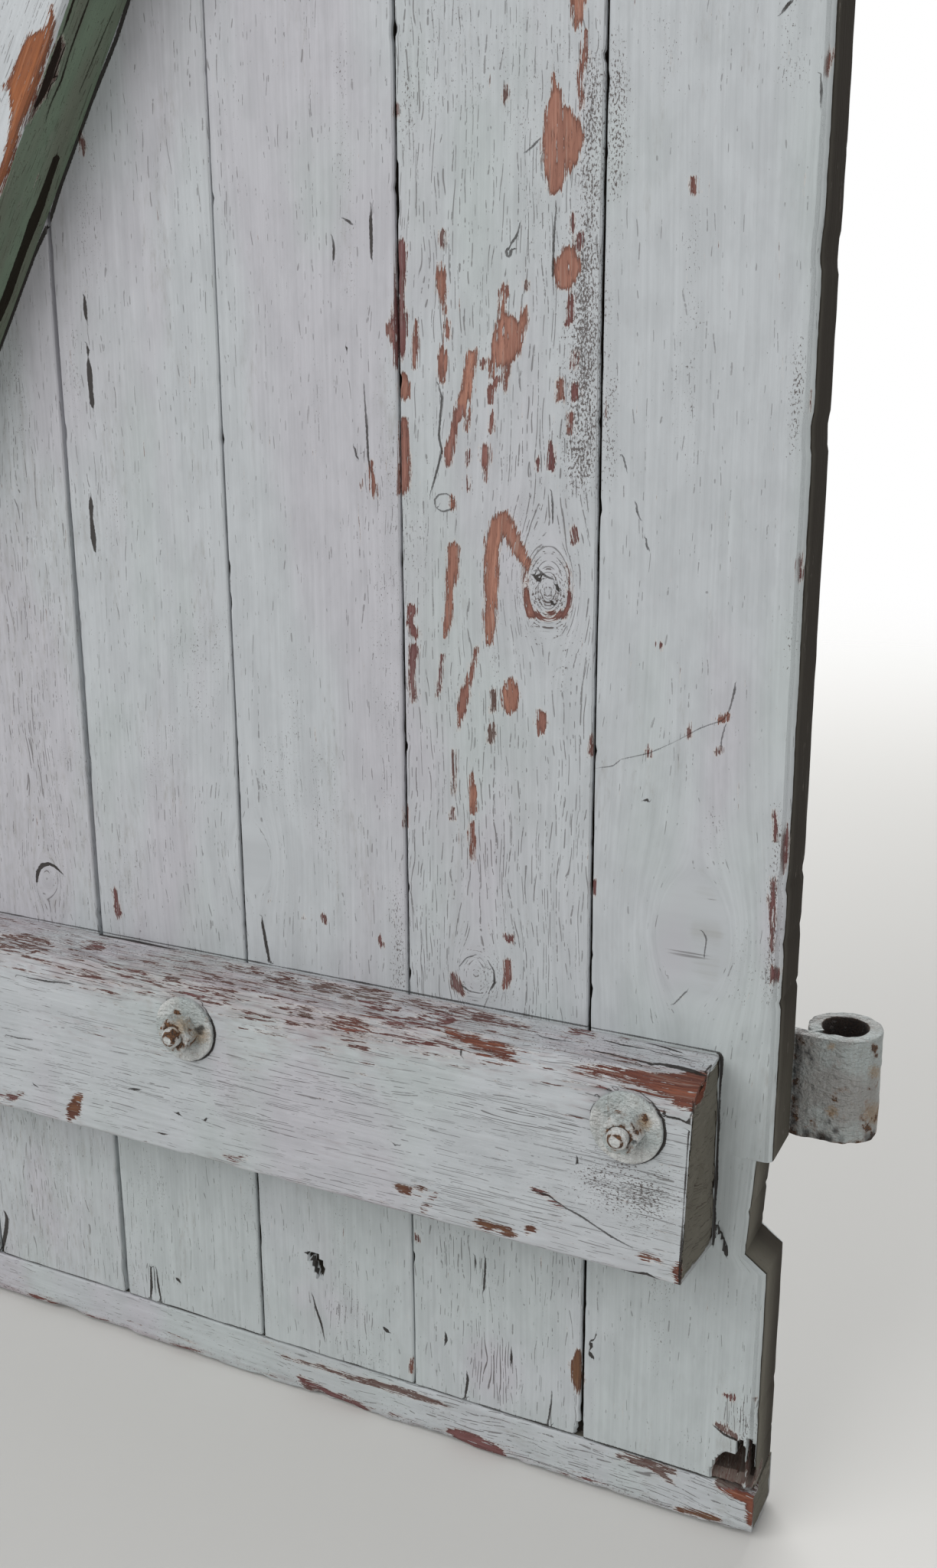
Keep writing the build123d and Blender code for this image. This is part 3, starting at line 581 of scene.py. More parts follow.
class ShutterStudio(bpy.types.PropertyGroup):
    """Floor and lights of the studio"""
    key_power: FloatProperty(name="Key light", description="Power of the main light", unit="POWER", default=56.0)
    side_power: FloatProperty(name="Side light", description="Power of the light by the hinge edge", unit="POWER", default=7.0)
    rear_power: FloatProperty(name="Rear light", description="Power of the light behind the leaf", unit="POWER", default=70.0)
    sky: factor("Sky", "Strength of the light from all round", 0.36)
    floor: colour("Floor", "Pale studio floor", 214, 213, 210)


# Repeatable noise, and the fields that shape and age a surface

HASH_FACTORS = (374761393, 668265263, 2246822519)


def cell_value(cells, seed):
    """Repeatable value from 0 to 1 for each cell of a lattice."""
    cells = cells.astype(np.int64).astype(np.uint32)
    mixed = np.full(len(cells), seed * 3266489917 % 2 ** 32, dtype=np.uint32)
    for axis, multiplier in enumerate(HASH_FACTORS):
        mixed = mixed + cells[:, axis] * np.uint32(multiplier)
    mixed = (mixed ^ (mixed >> np.uint32(13))) * np.uint32(1274126177)
    return (mixed ^ (mixed >> np.uint32(16))) / 2.0 ** 32


def noise(places, stretch, seed):
    """Smooth noise from -1 to 1 at each place; stretch is the size of its grain along each axis."""
    scaled = np.asarray(places, float) / np.asarray(stretch, float)
    base = np.floor(scaled)
    part = scaled - base
    part = part * part * (3 - 2 * part)
    total = np.zeros(len(scaled))
    for corner in itertools.product((0, 1), repeat=3):
        weight = np.where(corner, part, 1 - part).prod(axis=1)
        total += weight * cell_value(base + corner, seed)
    return 2 * total - 1


def line_noise(along, grain, seed):
    """Smooth noise from -1 to 1 along one line."""
    along = np.asarray(along, float)
    places = np.zeros((len(along), 3))
    places[:, 0] = along
    return noise(places, (grain, 1, 1), seed)


def rise(value, low, high):
    """Smooth step from 0 at low to 1 at high."""
    part = np.clip((value - low) / (high - low), 0, 1)
    return part * part * (3 - 2 * part)


def drawn(points, place, across):
    """Chain in millimetres of a mark in the photograph: places and half widths."""
    chain = []
    for x, y, width in points:
        middle = place(x, y)
        one = place(x - across[0] * width / 2, y - across[1] * width / 2)
        other = place(x + across[0] * width / 2, y + across[1] * width / 2)
        chain.append((*middle, np.linalg.norm(other - one) / 2))
    return np.array(chain)


def chain_gap(points, chain):
    """Distance from each point to a chain of thick strokes, negative inside it."""
    gap = np.full(len(points), np.inf)
    for start, end in zip(chain[:-1], chain[1:]):
        span = end[:3] - start[:3]
        share = np.clip((points - start[:3]) @ span / max(span @ span, 1e-9), 0, 1)
        middle = start[:3] + share[:, None] * span
        radius = start[3] + share * (end[3] - start[3])
        gap = np.minimum(gap, np.linalg.norm(points - middle, axis=1) - radius)
    return gap


def near_chain(points, chain, reach):
    """Numbers of the points that lie within reach of a chain."""
    low = chain[:, :3].min(axis=0) - reach
    high = chain[:, :3].max(axis=0) + reach
    return np.flatnonzero(((points > low) & (points < high)).all(axis=1))


PEEL_REACH = 9.0
CRACK_REACH = 5.5


def peel_fields(points, peels):
    """Distance to the nearest peeled place, and the tone of the wood in it."""
    bare = np.full(len(points), PEEL_REACH)
    tone = np.full(len(points), 0.4)
    for wood_tone, chain in peels:
        near = near_chain(points, chain, PEEL_REACH)
        gap = chain_gap(points[near], chain)
        closer = gap < bare[near]
        bare[near[closer]] = gap[closer]
        tone[near[closer]] = wood_tone
    return bare, tone


def crack_fields(points, normals, cracks):
    """Signed distance to the nearest drawn crack, and that crack's half width."""
    side = np.full(len(points), CRACK_REACH)
    width = np.zeros(len(points))
    for chain in cracks:
        near = near_chain(points, chain, CRACK_REACH)
        for start, end in zip(chain[:-1], chain[1:]):
            span = end[:3] - start[:3]
            offset = points[near] - start[:3]
            share = offset @ span / max(span @ span, 1e-9)
            middle = start[:3] + np.clip(share, 0, 1)[:, None] * span
            gap = np.linalg.norm(points[near] - middle, axis=1)
            turn = np.einsum("ij,ij->i", np.cross(span, offset), normals[near])
            closer = gap < np.abs(side[near]) - 1e-6
            chosen = near[closer]
            side[chosen] = np.where(turn < 0, -gap, gap)[closer]
            radius = start[3] + np.clip(share, 0, 1) * (end[3] - start[3])
            beyond = np.maximum(np.abs(share - 0.5) - 0.5, 0) * np.linalg.norm(span)
            width[chosen] = (radius * rise(beyond, 1.2, 0.2) * rise(gap - radius, 1.9, 1.1))[closer]
    return side, width


def seam(start, end, radius, seed):
    """Chain of a dark line between two places, its half width coming and going; where parts meet it is painted shade.
    """
    start, end = np.array(start, float), np.array(end, float)
    shares = np.linspace(0, 1, max(2, round(float(np.linalg.norm(end - start)) / 5.0)))
    places = start + shares[:, None] * (end - start)
    return np.column_stack([places, radius * (0.7 + 0.6 * noise(places, (8, 8, 8), seed))])


def knot_grain(x, z, knots):
    """How far the grain is pushed aside by knots at each place."""
    pushed = np.zeros(len(x))
    for knot_x, knot_z, radius, relief in knots:
        across, along = x - knot_x, (z - knot_z) / 1.7
        away = across ** 2 + along ** 2
        outside = -across * radius ** 2 / np.maximum(away, radius ** 2)
        inside = np.sqrt(away) - radius - across if relief else outside
        pushed += np.where(away > radius ** 2, outside, inside)
    return pushed


def scattered_peels(seed, low, high, along, count):
    """Peeled strokes for the parts that the photograph doesn't show; along is the axis of the grain."""
    random = np.random.RandomState(seed)
    low, high = np.array(low, float), np.array(high, float)
    peels = []
    for _ in range(count):
        start = low + random.rand(3) * (high - low)
        reach = np.zeros(3)
        reach[along] = random.uniform(5, 34)
        sway = random.uniform(-1.0, 1.0, 3) * (high > low)
        radius = random.uniform(0.4, 2.6)
        middle = start + reach * 0.55 + sway
        end = start + reach
        chain = np.array([(*start, radius * 0.5), (*middle, radius), (*end, radius * 0.3)])
        peels.append((random.uniform(0, 0.8), chain))
    return peels


# Meshes from rows of points

def line(start, end, step):
    """Points from start towards end, without the end."""
    start, end = np.array(start, float), np.array(end, float)
    count = max(1, round(float(np.linalg.norm(end - start)) / step))
    return [start + (end - start) * number / count for number in range(count)]


def bend(centre, radius, first, last, count):
    """Points on an arc, without its end; angles in degrees."""
    angles = np.radians(np.linspace(first, last, count + 1)[:-1])
    return [np.array([centre[0] + radius * math.cos(a), centre[1] + radius * math.sin(a)]) for a in angles]


def levels(*stretches):
    """Places along a piece, from stretches of (start, end, step)."""
    places = [start + (end - start) * number / max(1, round(abs(end - start) / step))
              for start, end, step in stretches
              for number in range(max(1, round(abs(end - start) / step)))]
    return np.array(places + [stretches[-1][1]])


def outline_normals(outline):
    """Outward directions at the points of a closed outline."""
    outline = np.array(outline)
    ahead = np.roll(outline, -1, axis=0) - np.roll(outline, 1, axis=0)
    normals = np.stack([ahead[:, 1], -ahead[:, 0]], axis=1)
    normals /= np.maximum(np.linalg.norm(normals, axis=1), 1e-9)[:, None]
    area = np.sum(outline[:, 0] * np.roll(outline[:, 1], -1) - np.roll(outline[:, 0], -1) * outline[:, 1])
    return normals if area > 0 else -normals


def girth(outline):
    """Distance round an outline to each of its points, from the first one."""
    outline = np.array(outline)
    return np.concatenate([[0.0], np.cumsum(np.linalg.norm(np.diff(outline, axis=0), axis=1))])


def row_faces(row_count, ring_count, wrap_rows):
    """Four-sided faces between the rows, and the two end faces of rows that don't close."""
    rows = np.arange(row_count if wrap_rows else row_count - 1)[:, None]
    ring = np.arange(ring_count)[None, :]
    above, beside = (rows + 1) % row_count, (ring + 1) % ring_count
    corners = (rows * ring_count + ring, rows * ring_count + beside,
               above * ring_count + beside, above * ring_count + ring)
    quads = np.stack([corner.reshape(-1) for corner in corners], axis=1)
    ends = []
    if not wrap_rows:
        ends = [list(range(ring_count))[::-1], list(range((row_count - 1) * ring_count, row_count * ring_count))]
    return quads, ends


def signed_volume(points, quads):
    """Volume inside the faces, negative where they face inwards."""
    corners = points[quads]
    first = np.einsum("ij,ij->i", corners[:, 0], np.cross(corners[:, 1], corners[:, 2]))
    second = np.einsum("ij,ij->i", corners[:, 0], np.cross(corners[:, 2], corners[:, 3]))
    return (first.sum() + second.sum()) / 6


def make_piece(name, rows, fields, material, wrap_rows=False, sharp_angle=42):
    """Piece made of rows of points round it, with the fields that its finish reads."""
    row_count, ring_count = rows.shape[:2]
    points = rows.reshape(-1, 3)
    quads, ends = row_faces(row_count, ring_count, wrap_rows)
    middle = points.mean(axis=0)
    if signed_volume(points - middle, quads) < 0:
        quads, ends = quads[:, ::-1], [face[::-1] for face in ends]
    mesh = bpy.data.meshes.new(name)
    mesh.from_pydata((points * MM).tolist(), [], quads.tolist() + ends)
    for field, values in fields.items():
        kind, key = ("FLOAT_VECTOR", "vector") if values.ndim == 2 else ("FLOAT", "value")
        layer = mesh.attributes.new(field, kind, "POINT")
        layer.data.foreach_set(key, values.astype(np.float32).ravel())
    mesh.polygons.foreach_set("use_smooth", [True] * len(mesh.polygons))
    mesh.set_sharp_from_angle(angle=math.radians(sharp_angle))
    mesh.update()
    piece = bpy.data.objects.new(name, mesh)
    bpy.context.scene.collection.objects.link(piece)
    mesh.materials.append(material)
    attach(piece, "root")
    return piece


# Shader nodes

class NodeTree:
    """Short ways to add and join the nodes of one tree."""

    def __init__(self, tree):
        self.tree = tree

    def add(self, kind, inputs=None, **settings):
        """New node, whose inputs get values or the outputs that feed them."""
        node = self.tree.nodes.new(kind)
        for setting, value in settings.items():
            setattr(node, setting, value)
        for key, value in (inputs or {}).items():
            self.feed(node.inputs[key], value)
        return node

    def feed(self, socket, value):
        """Give an input a value or an output to follow."""
        if isinstance(value, bpy.types.NodeSocket):
            self.tree.links.new(value, socket)
        elif socket.type == "RGBA":
            socket.default_value = (*value[:3], 1.0)
        else:
            socket.default_value = value

    def math(self, operation, first, second=0.0, clamp=False):
        """Output of a Math node."""
        return self.add("ShaderNodeMath", {0: first, 1: second}, operation=operation, use_clamp=clamp).outputs[0]

    def step(self, value, low, high):
        """Smooth step of a value from low to high."""
        inputs = {"Value": value, "From Min": low, "From Max": high}
        return self.add("ShaderNodeMapRange", inputs, interpolation_type="SMOOTHSTEP").outputs["Result"]

    def scale(self, vector, stretch):
        """Vector multiplied axis by axis."""
        return self.add("ShaderNodeVectorMath", {0: vector, 1: stretch}, operation="MULTIPLY").outputs[0]

    def noise(self, vector, stretch, detail=2.0, roughness=0.5):
        """Noise from 0 to 1, with its frequency along each of two or three axes."""
        scaled = self.scale(vector, (*stretch, 0.0)[:3])
        inputs = {"Vector": scaled, "Scale": 1.0, "Detail": detail, "Roughness": roughness}
        return self.add("ShaderNodeTexNoise", inputs, noise_dimensions=f"{len(stretch)}D").outputs["Fac"]

    def mix(self, share, first, second):
        """Colour between two colours."""
        inputs = {0: share, 6: first, 7: second}
        return self.add("ShaderNodeMix", inputs, data_type="RGBA").outputs[2]

    def between(self, share, first, second):
        """Number between two numbers."""
        return self.add("ShaderNodeMix", {0: share, 2: first, 3: second}, data_type="FLOAT").outputs[0]

    def attribute(self, name, output="Fac"):
        """Field that the mesh carries."""
        return self.add("ShaderNodeAttribute", attribute_name=name).outputs[output]


def place_group(tree, group, **inputs):
    """Node group in a tree, with its inputs given by name."""
    node = tree.add("ShaderNodeGroup", node_tree=group)
    for key, value in inputs.items():
        tree.feed(node.inputs[key.replace("_", " ")], value)
    return node.outputs


def new_group(name, inputs, outputs):
    """Empty node group with named inputs and outputs."""
    group = bpy.data.node_groups.new(name, "ShaderNodeTree")
    for title, kind in inputs:
        group.interface.new_socket(title, in_out="INPUT", socket_type=f"NodeSocket{kind}")
    for title, kind in outputs:
        group.interface.new_socket(title, in_out="OUTPUT", socket_type=f"NodeSocket{kind}")
    tree = NodeTree(group)
    given = tree.add("NodeGroupInput").outputs
    made = tree.add("NodeGroupOutput").inputs
    return group, tree, given, made


def peeling_group():
    """Where the paint has come off: drawn places with ragged edges, and flakes where weather has worked."""
    inputs = [("Grain", "Vector"), ("Distance", "Float"), ("Weather", "Float"), ("Ragged", "Float"), ("Left", "Float")]
    outputs = [("Bare", "Float"), ("Lip", "Float"), ("Edge", "Float")]
    group, tree, given, made = new_group("Peeling Paint", inputs, outputs)
    broad = tree.noise(given["Grain"], (0.8, 0.2), 2.0)
    fine = tree.noise(given["Grain"], (2.6, 0.9), 2.0)
    sliver = tree.noise(given["Grain"], (1.7, 0.07), 3.0, 0.6)
    jags = tree.math("ADD", tree.math("MULTIPLY", tree.math("SUBTRACT", broad, 0.5), 2.4),
                     tree.math("MULTIPLY", tree.math("SUBTRACT", fine, 0.5), 1.4))
    jags = tree.math("ADD", jags, tree.math("MULTIPLY", tree.math("SUBTRACT", sliver, 0.5), 5.6))
    drawn_gap = tree.math("ADD", given["Distance"], tree.math("MULTIPLY", jags, given["Ragged"]))
    flakes = tree.noise(given["Grain"], (0.5, 0.04), 5.0, 0.66)
    limit = tree.math("SUBTRACT", 0.76, tree.math("MULTIPLY", given["Weather"], 0.36))
    flake_gap = tree.math("MULTIPLY", tree.math("SUBTRACT", limit, flakes), 14.0)
    gap = tree.math("MINIMUM", drawn_gap, flake_gap)
    crust = tree.noise(given["Grain"], (0.9, 0.1), 3.0, 0.65)
    crust_limit = tree.math("SUBTRACT", 0.72, tree.math("MULTIPLY", given["Left"], 0.21))
    gap = tree.math("MAXIMUM", gap, tree.math("MULTIPLY", tree.math("SUBTRACT", crust, crust_limit), 12.0))
    bare = tree.step(gap, 0.12, -0.12)
    tree.feed(made["Bare"], bare)
    tree.feed(made["Lip"], tree.step(gap, 0.7, 0.1))
    # Dark band just inside the paint edge: stain, and painted shadow of the paint layer.
    tree.feed(made["Edge"], tree.math("MULTIPLY", bare, tree.step(gap, -1.5, -0.2)))
    return group


# Spacing and relative width of the two sets of hair cracks, in millimetres across the grain.
CRACK_SETS = ((3.3, 1.0), (1.45, 0.7))


def crack_group():
    """Hair cracks in the paint: lines along the grain that wander, come and go."""
    inputs = [("Grain", "Vector"), ("Density", "Float"), ("Width", "Float")]
    group, tree, given, made = new_group("Hair Cracks", inputs, [("Crack", "Float")])
    place = tree.add("ShaderNodeSeparateXYZ", {0: given["Grain"]}).outputs
    sway = tree.math("MULTIPLY", tree.noise(given["Grain"], (0.09, 0.02), 2.0), 7.0)
    swayed = tree.math("ADD", place["X"], sway)
    limit = tree.math("SUBTRACT", 0.69, tree.math("MULTIPLY", given["Density"], 0.3))
    cracks = []
    for spacing, width in CRACK_SETS:
        lane = tree.math("DIVIDE", swayed, spacing)
        number = tree.math("MULTIPLY", tree.math("FLOOR", lane), 7.31)
        own = tree.add("ShaderNodeCombineXYZ", {"X": number, "Y": place["Y"]}).outputs[0]
        wander = tree.noise(own, (1.0, 0.035), 2.0, 0.5)
        middle = tree.math("ADD", 0.5, tree.math("MULTIPLY", tree.math("SUBTRACT", wander, 0.5), 1.0))
        gap = tree.math("ABSOLUTE", tree.math("SUBTRACT", tree.math("FRACT", lane), middle))
        opening = tree.step(tree.math("SUBTRACT", tree.noise(own, (1.7, 0.085), 4.0, 0.65), limit), 0.0, 0.1)
        half = tree.math("MULTIPLY", tree.math("MULTIPLY", given["Width"], opening), width / spacing)
        inside = tree.math("SUBTRACT", half, gap)
        cracks.append(tree.step(inside, -0.1 / spacing, 0.03 / spacing))
        cracks[-1] = tree.math("MULTIPLY", cracks[-1], tree.step(opening, 0.02, 0.3))
    tree.feed(made["Crack"], tree.math("MAXIMUM", *cracks))
    return group


def bare_wood_group():
    """Bare wood: dark late wood and fibres between two colours."""
    inputs = [("Grain", "Vector"), ("Light", "Color"), ("Dark", "Color"), ("Residue", "Color")]
    group, tree, given, made = new_group("Bare Wood", inputs, [("Color", "Color"), ("Height", "Float")])
    bands = tree.noise(given["Grain"], (0.5, 0.012), 3.0, 0.6)
    fibres = tree.noise(given["Grain"], (1.0, 0.035), 3.0, 0.65)
    both = tree.math("ADD", tree.math("MULTIPLY", bands, 0.5), tree.math("MULTIPLY", fibres, 0.5))
    light = tree.step(both, 0.39, 0.6)
    stain = tree.step(tree.noise(given["Grain"], (0.2, 0.035), 3.0, 0.6), 0.42, 0.62)
    wood = tree.mix(light, given["Dark"], given["Light"])
    wood = tree.mix(tree.math("MULTIPLY", stain, 0.45), wood, given["Dark"])
    residue = tree.math("MULTIPLY", tree.step(fibres, 0.56, 0.68), 0.35)
    tree.feed(made["Color"], tree.mix(residue, wood, given["Residue"]))
    tree.feed(made["Height"], light)
    return group


def paint_group():
    """Aged paint: brush streaks along the grain and settled grime."""
    inputs = [("Grain", "Vector"), ("Paint", "Color"), ("Grime", "Color"), ("Dirt", "Float")]
    group, tree, given, made = new_group("Aged Paint", inputs, [("Color", "Color"), ("Streak", "Float")])
    streak = tree.noise(given["Grain"], (0.6, 0.012), 3.0, 0.6)
    smudge = tree.step(tree.noise(given["Grain"], (0.1, 0.045), 3.0, 0.6), 0.34, 0.64)
    value = tree.math("MULTIPLY", tree.between(streak, 0.87, 1.12), tree.between(smudge, 0.955, 1.03))
    shade = tree.add("ShaderNodeHueSaturation", {"Value": value, "Color": given["Paint"]}).outputs[0]
    cloud = tree.noise(given["Grain"], (0.45, 0.1), 4.0, 0.7)
    dirt = tree.math("ADD", given["Dirt"], tree.math("SUBTRACT", cloud, 0.5))
    dirt = tree.math("MULTIPLY", tree.step(dirt, 0.3, 0.95), 0.75)
    tree.feed(made["Color"], tree.mix(dirt, shade, given["Grime"]))
    tree.feed(made["Streak"], streak)
    return group


def speck_group():
    """Small flaked specks, gathered where the field is high."""
    group, tree, given, made = new_group("Specks", [("Grain", "Vector"), ("Density", "Float")], [("Speck", "Float")])
    spots = tree.noise(given["Grain"], (1.6, 0.8), 3.0, 0.65)
    clumps = tree.math("MULTIPLY", tree.noise(given["Grain"], (0.22, 0.09), 2.0), 0.22)
    limit = tree.math("SUBTRACT", tree.math("SUBTRACT", 0.89, clumps), tree.math("MULTIPLY", given["Density"], 0.3))
    tree.feed(made["Speck"], tree.step(tree.math("SUBTRACT", spots, limit), 0.0, 0.04))
    return group


def rust_group():
    """Rust that breaks through thick paint."""
    inputs = [("Place", "Vector"), ("Amount", "Float")]
    group, tree, given, made = new_group("Rust", inputs, [("Rust", "Float"), ("Stain", "Float"), ("Lumps", "Float")])
    patches = tree.noise(given["Place"], (0.22, 0.22, 0.22), 4.0, 0.65)
    limit = tree.math("SUBTRACT", 0.78, tree.math("MULTIPLY", given["Amount"], 0.42))
    over = tree.math("SUBTRACT", patches, limit)
    tree.feed(made["Rust"], tree.step(over, 0.0, 0.035))
    tree.feed(made["Stain"], tree.step(over, -0.12, 0.02))
    tree.feed(made["Lumps"], tree.noise(given["Place"], (0.5, 0.5, 0.5), 3.0, 0.6))
    return group


GROUP_MAKERS = {
    "Peeling Paint": peeling_group,
    "Hair Cracks": crack_group,
    "Bare Wood": bare_wood_group,
    "Aged Paint": paint_group,
    "Specks": speck_group,
    "Rust": rust_group,
}


def shared_group(name):
    """Node group of that name, made when it is first asked for."""
    return bpy.data.node_groups.get(name) or GROUP_MAKERS[name]()


def new_material(name):
    """Material with an empty tree, its surface shader and its bump."""
    material = bpy.data.materials.new(name)
    material.use_nodes = True
    material.node_tree.nodes.clear()
    tree = NodeTree(material.node_tree)
    surface = tree.add("ShaderNodeBsdfPrincipled")
    output = tree.add("ShaderNodeOutputMaterial")
    tree.feed(output.inputs["Surface"], surface.outputs["BSDF"])
    return material, tree, surface


def painted_wood(name, paint, second_paint, clay, crack_width=0.14, ragged=1.0, left=0.35, fineness=(1.0, 1.0),
                 stain=0.42):
    """Old paint over wood, which reads the fields of the mesh."""
    if name in bpy.data.materials:
        return bpy.data.materials[name]
    scene = bpy.context.scene
    colours, finish, sizes = scene.shutter_colours, scene.shutter_finish, scene.shutter_sizes
    material, tree, surface = new_material(name)
    grain = tree.attribute("grain", "Vector")
    tone = tree.attribute("tone")
    scraps = tree.math("MULTIPLY", tree.between(tree.step(tone, 0.15, 0.6), 0.2, 1.0), left)
    peel = place_group(tree, shared_group("Peeling Paint"), Grain=grain, Distance=tree.attribute("bare"),
                       Weather=tree.attribute("weather"), Ragged=finish.raggedness * ragged, Left=scraps)
    hair = place_group(tree, shared_group("Hair Cracks"), Grain=tree.scale(grain, (*fineness, 1.0)),
                       Density=tree.attribute("craze"), Width=crack_width)["Crack"]
    speck = place_group(tree, shared_group("Specks"), Grain=grain, Density=tree.attribute("specks"))["Speck"]
    tint = tree.add("ShaderNodeSeparateXYZ", {0: tree.attribute("tint", "Vector")}).outputs
    base = tree.mix(tree.math("MULTIPLY", tint["X"], 0.45), paint, colours.mauve)
    base = tree.mix(tree.math("MULTIPLY", tint["Y"], 0.6), base, colours.green)
    patches = tree.math("SUBTRACT", tree.noise(grain, (0.5, 0.12), 3.0), 0.5)
    thin = tree.step(tree.math("ADD", patches, tree.attribute("weather")), 0.1, 0.9)
    base = tree.mix(tree.math("MULTIPLY", thin, 0.42), base, colours.red_wood)
    layer = tree.attribute("coat")
    second = tree.step(tree.math("ADD", layer, tree.math("MULTIPLY", patches, 0.9)), 0.42, 0.58)
    paler = tree.mix(tree.math("SUBTRACT", layer, 1.0, clamp=True), second_paint, colours.end_grain_and_shade)
    base = tree.mix(second, base, paler)
    # The grime share of the tint field also carries painted shade where a board's lean raises it.
    dirt = tree.math("MULTIPLY", tint["Z"], finish.soiling)
    coat = place_group(tree, shared_group("Aged Paint"), Grain=grain, Paint=base, Grime=colours.grime, Dirt=dirt)
    skin = tree.mix(tree.math("MULTIPLY", peel["Lip"], 0.5), coat["Color"], colours.lip)
    darkness = tree.math("ADD", 0.3, tree.math("MULTIPLY", tree.attribute("craze"), 0.5))
    skin = tree.mix(tree.math("MULTIPLY", hair, darkness), skin, colours.crack)
    flake = tree.mix(0.2, colours.crack, colours.rim)
    skin = tree.mix(tree.math("MULTIPLY", speck, 0.85), skin, flake)
    light = tree.mix(tree.step(tone, 0.0, 0.5), clay, colours.red_wood)
    light = tree.mix(tree.step(tone, 0.5, 1.0), light, colours.ash_wood)
    light = tree.mix(tree.step(tone, 0.0, UMBER), light, colours.umber)
    dark = tree.mix(stain, light, colours.rim)
    wood = place_group(tree, shared_group("Bare Wood"), Grain=grain, Light=light, Dark=dark, Residue=colours.grime)
    # Inside a paint edge the wood darkens to the peel rim colour: stain, and painted shadow.
    timber = tree.mix(tree.math("MULTIPLY", peel["Edge"], 0.6), wood["Color"], colours.rim)
    shown = tree.mix(peel["Bare"], skin, timber)
    # Drawn chains take the open crack colour: open cracks, and painted shade in gaps and hollows.
    side = tree.math("ABSOLUTE", tree.attribute("crack_side"))
    wide = tree.attribute("crack_width")
    jag = tree.math("MULTIPLY", tree.math("SUBTRACT", tree.noise(grain, (2.2, 0.9), 2.0), 0.5), 0.5)
    slit = tree.step(tree.math("ADD", tree.math("SUBTRACT", side, wide), jag), 0.14, -0.06)
    slit = tree.math("MULTIPLY", slit, tree.step(wide, 0.03, 0.12))
    depth = tree.between(tree.step(wide, 0.08, 0.5), 0.6, 0.95)
    shown = tree.mix(tree.math("MULTIPLY", slit, depth), shown, colours.slit)
    tree.feed(surface.inputs["Base Color"], shown)
    tree.feed(surface.inputs["Roughness"], tree.between(tree.math("MAXIMUM", peel["Bare"], second), 0.62, 0.88))
    tree.feed(surface.inputs["Specular IOR Level"], tree.between(second, 0.32, 0.06))
    height = tree.between(peel["Bare"], 1.0, tree.math("MULTIPLY", wood["Height"], 0.35))
    height = tree.math("ADD", height, tree.math("MULTIPLY", coat["Streak"], 0.5))
    height = tree.math("SUBTRACT", height, tree.math("MULTIPLY", hair, 0.5))
    height = tree.math("SUBTRACT", height, tree.math("MULTIPLY", slit, 1.2))
    bump = tree.add("ShaderNodeBump", {"Height": height, "Strength": 0.8, "Distance": sizes.paint_step})
    tree.feed(surface.inputs["Normal"], bump.outputs["Normal"])
    return material


def iron_fields(points, grain, rust, dirt_and_shade):
    """All fields that the painted iron reads, with the marks that the photograph shows."""
    seen = seen_at(points)
    layers = []
    for marks in (IRON_RUST, IRON_DIRT_AND_SHADE, IRON_OCHRE):
        strength = np.zeros(len(points))
        for x, y, radius in marks.values():
            away = np.hypot(seen[:, 0] - x, seen[:, 1] - y)
            strength = np.maximum(strength, rise(away, radius * 1.7, 0.0))
        layers.append(strength)
    rusty, dirt_and_shade_share, ochre = layers
    dirt_and_shade_share = rise(dirt_and_shade_share + 0.3 * noise(points, (1.6, 1.6, 1.6), 77), 0.35, 0.7)
    return {"grain": grain, "rust": np.maximum(rust, 0.95 * rusty), "dirt_and_shade": np.maximum(dirt_and_shade, dirt_and_shade_share), "ochre": ochre}


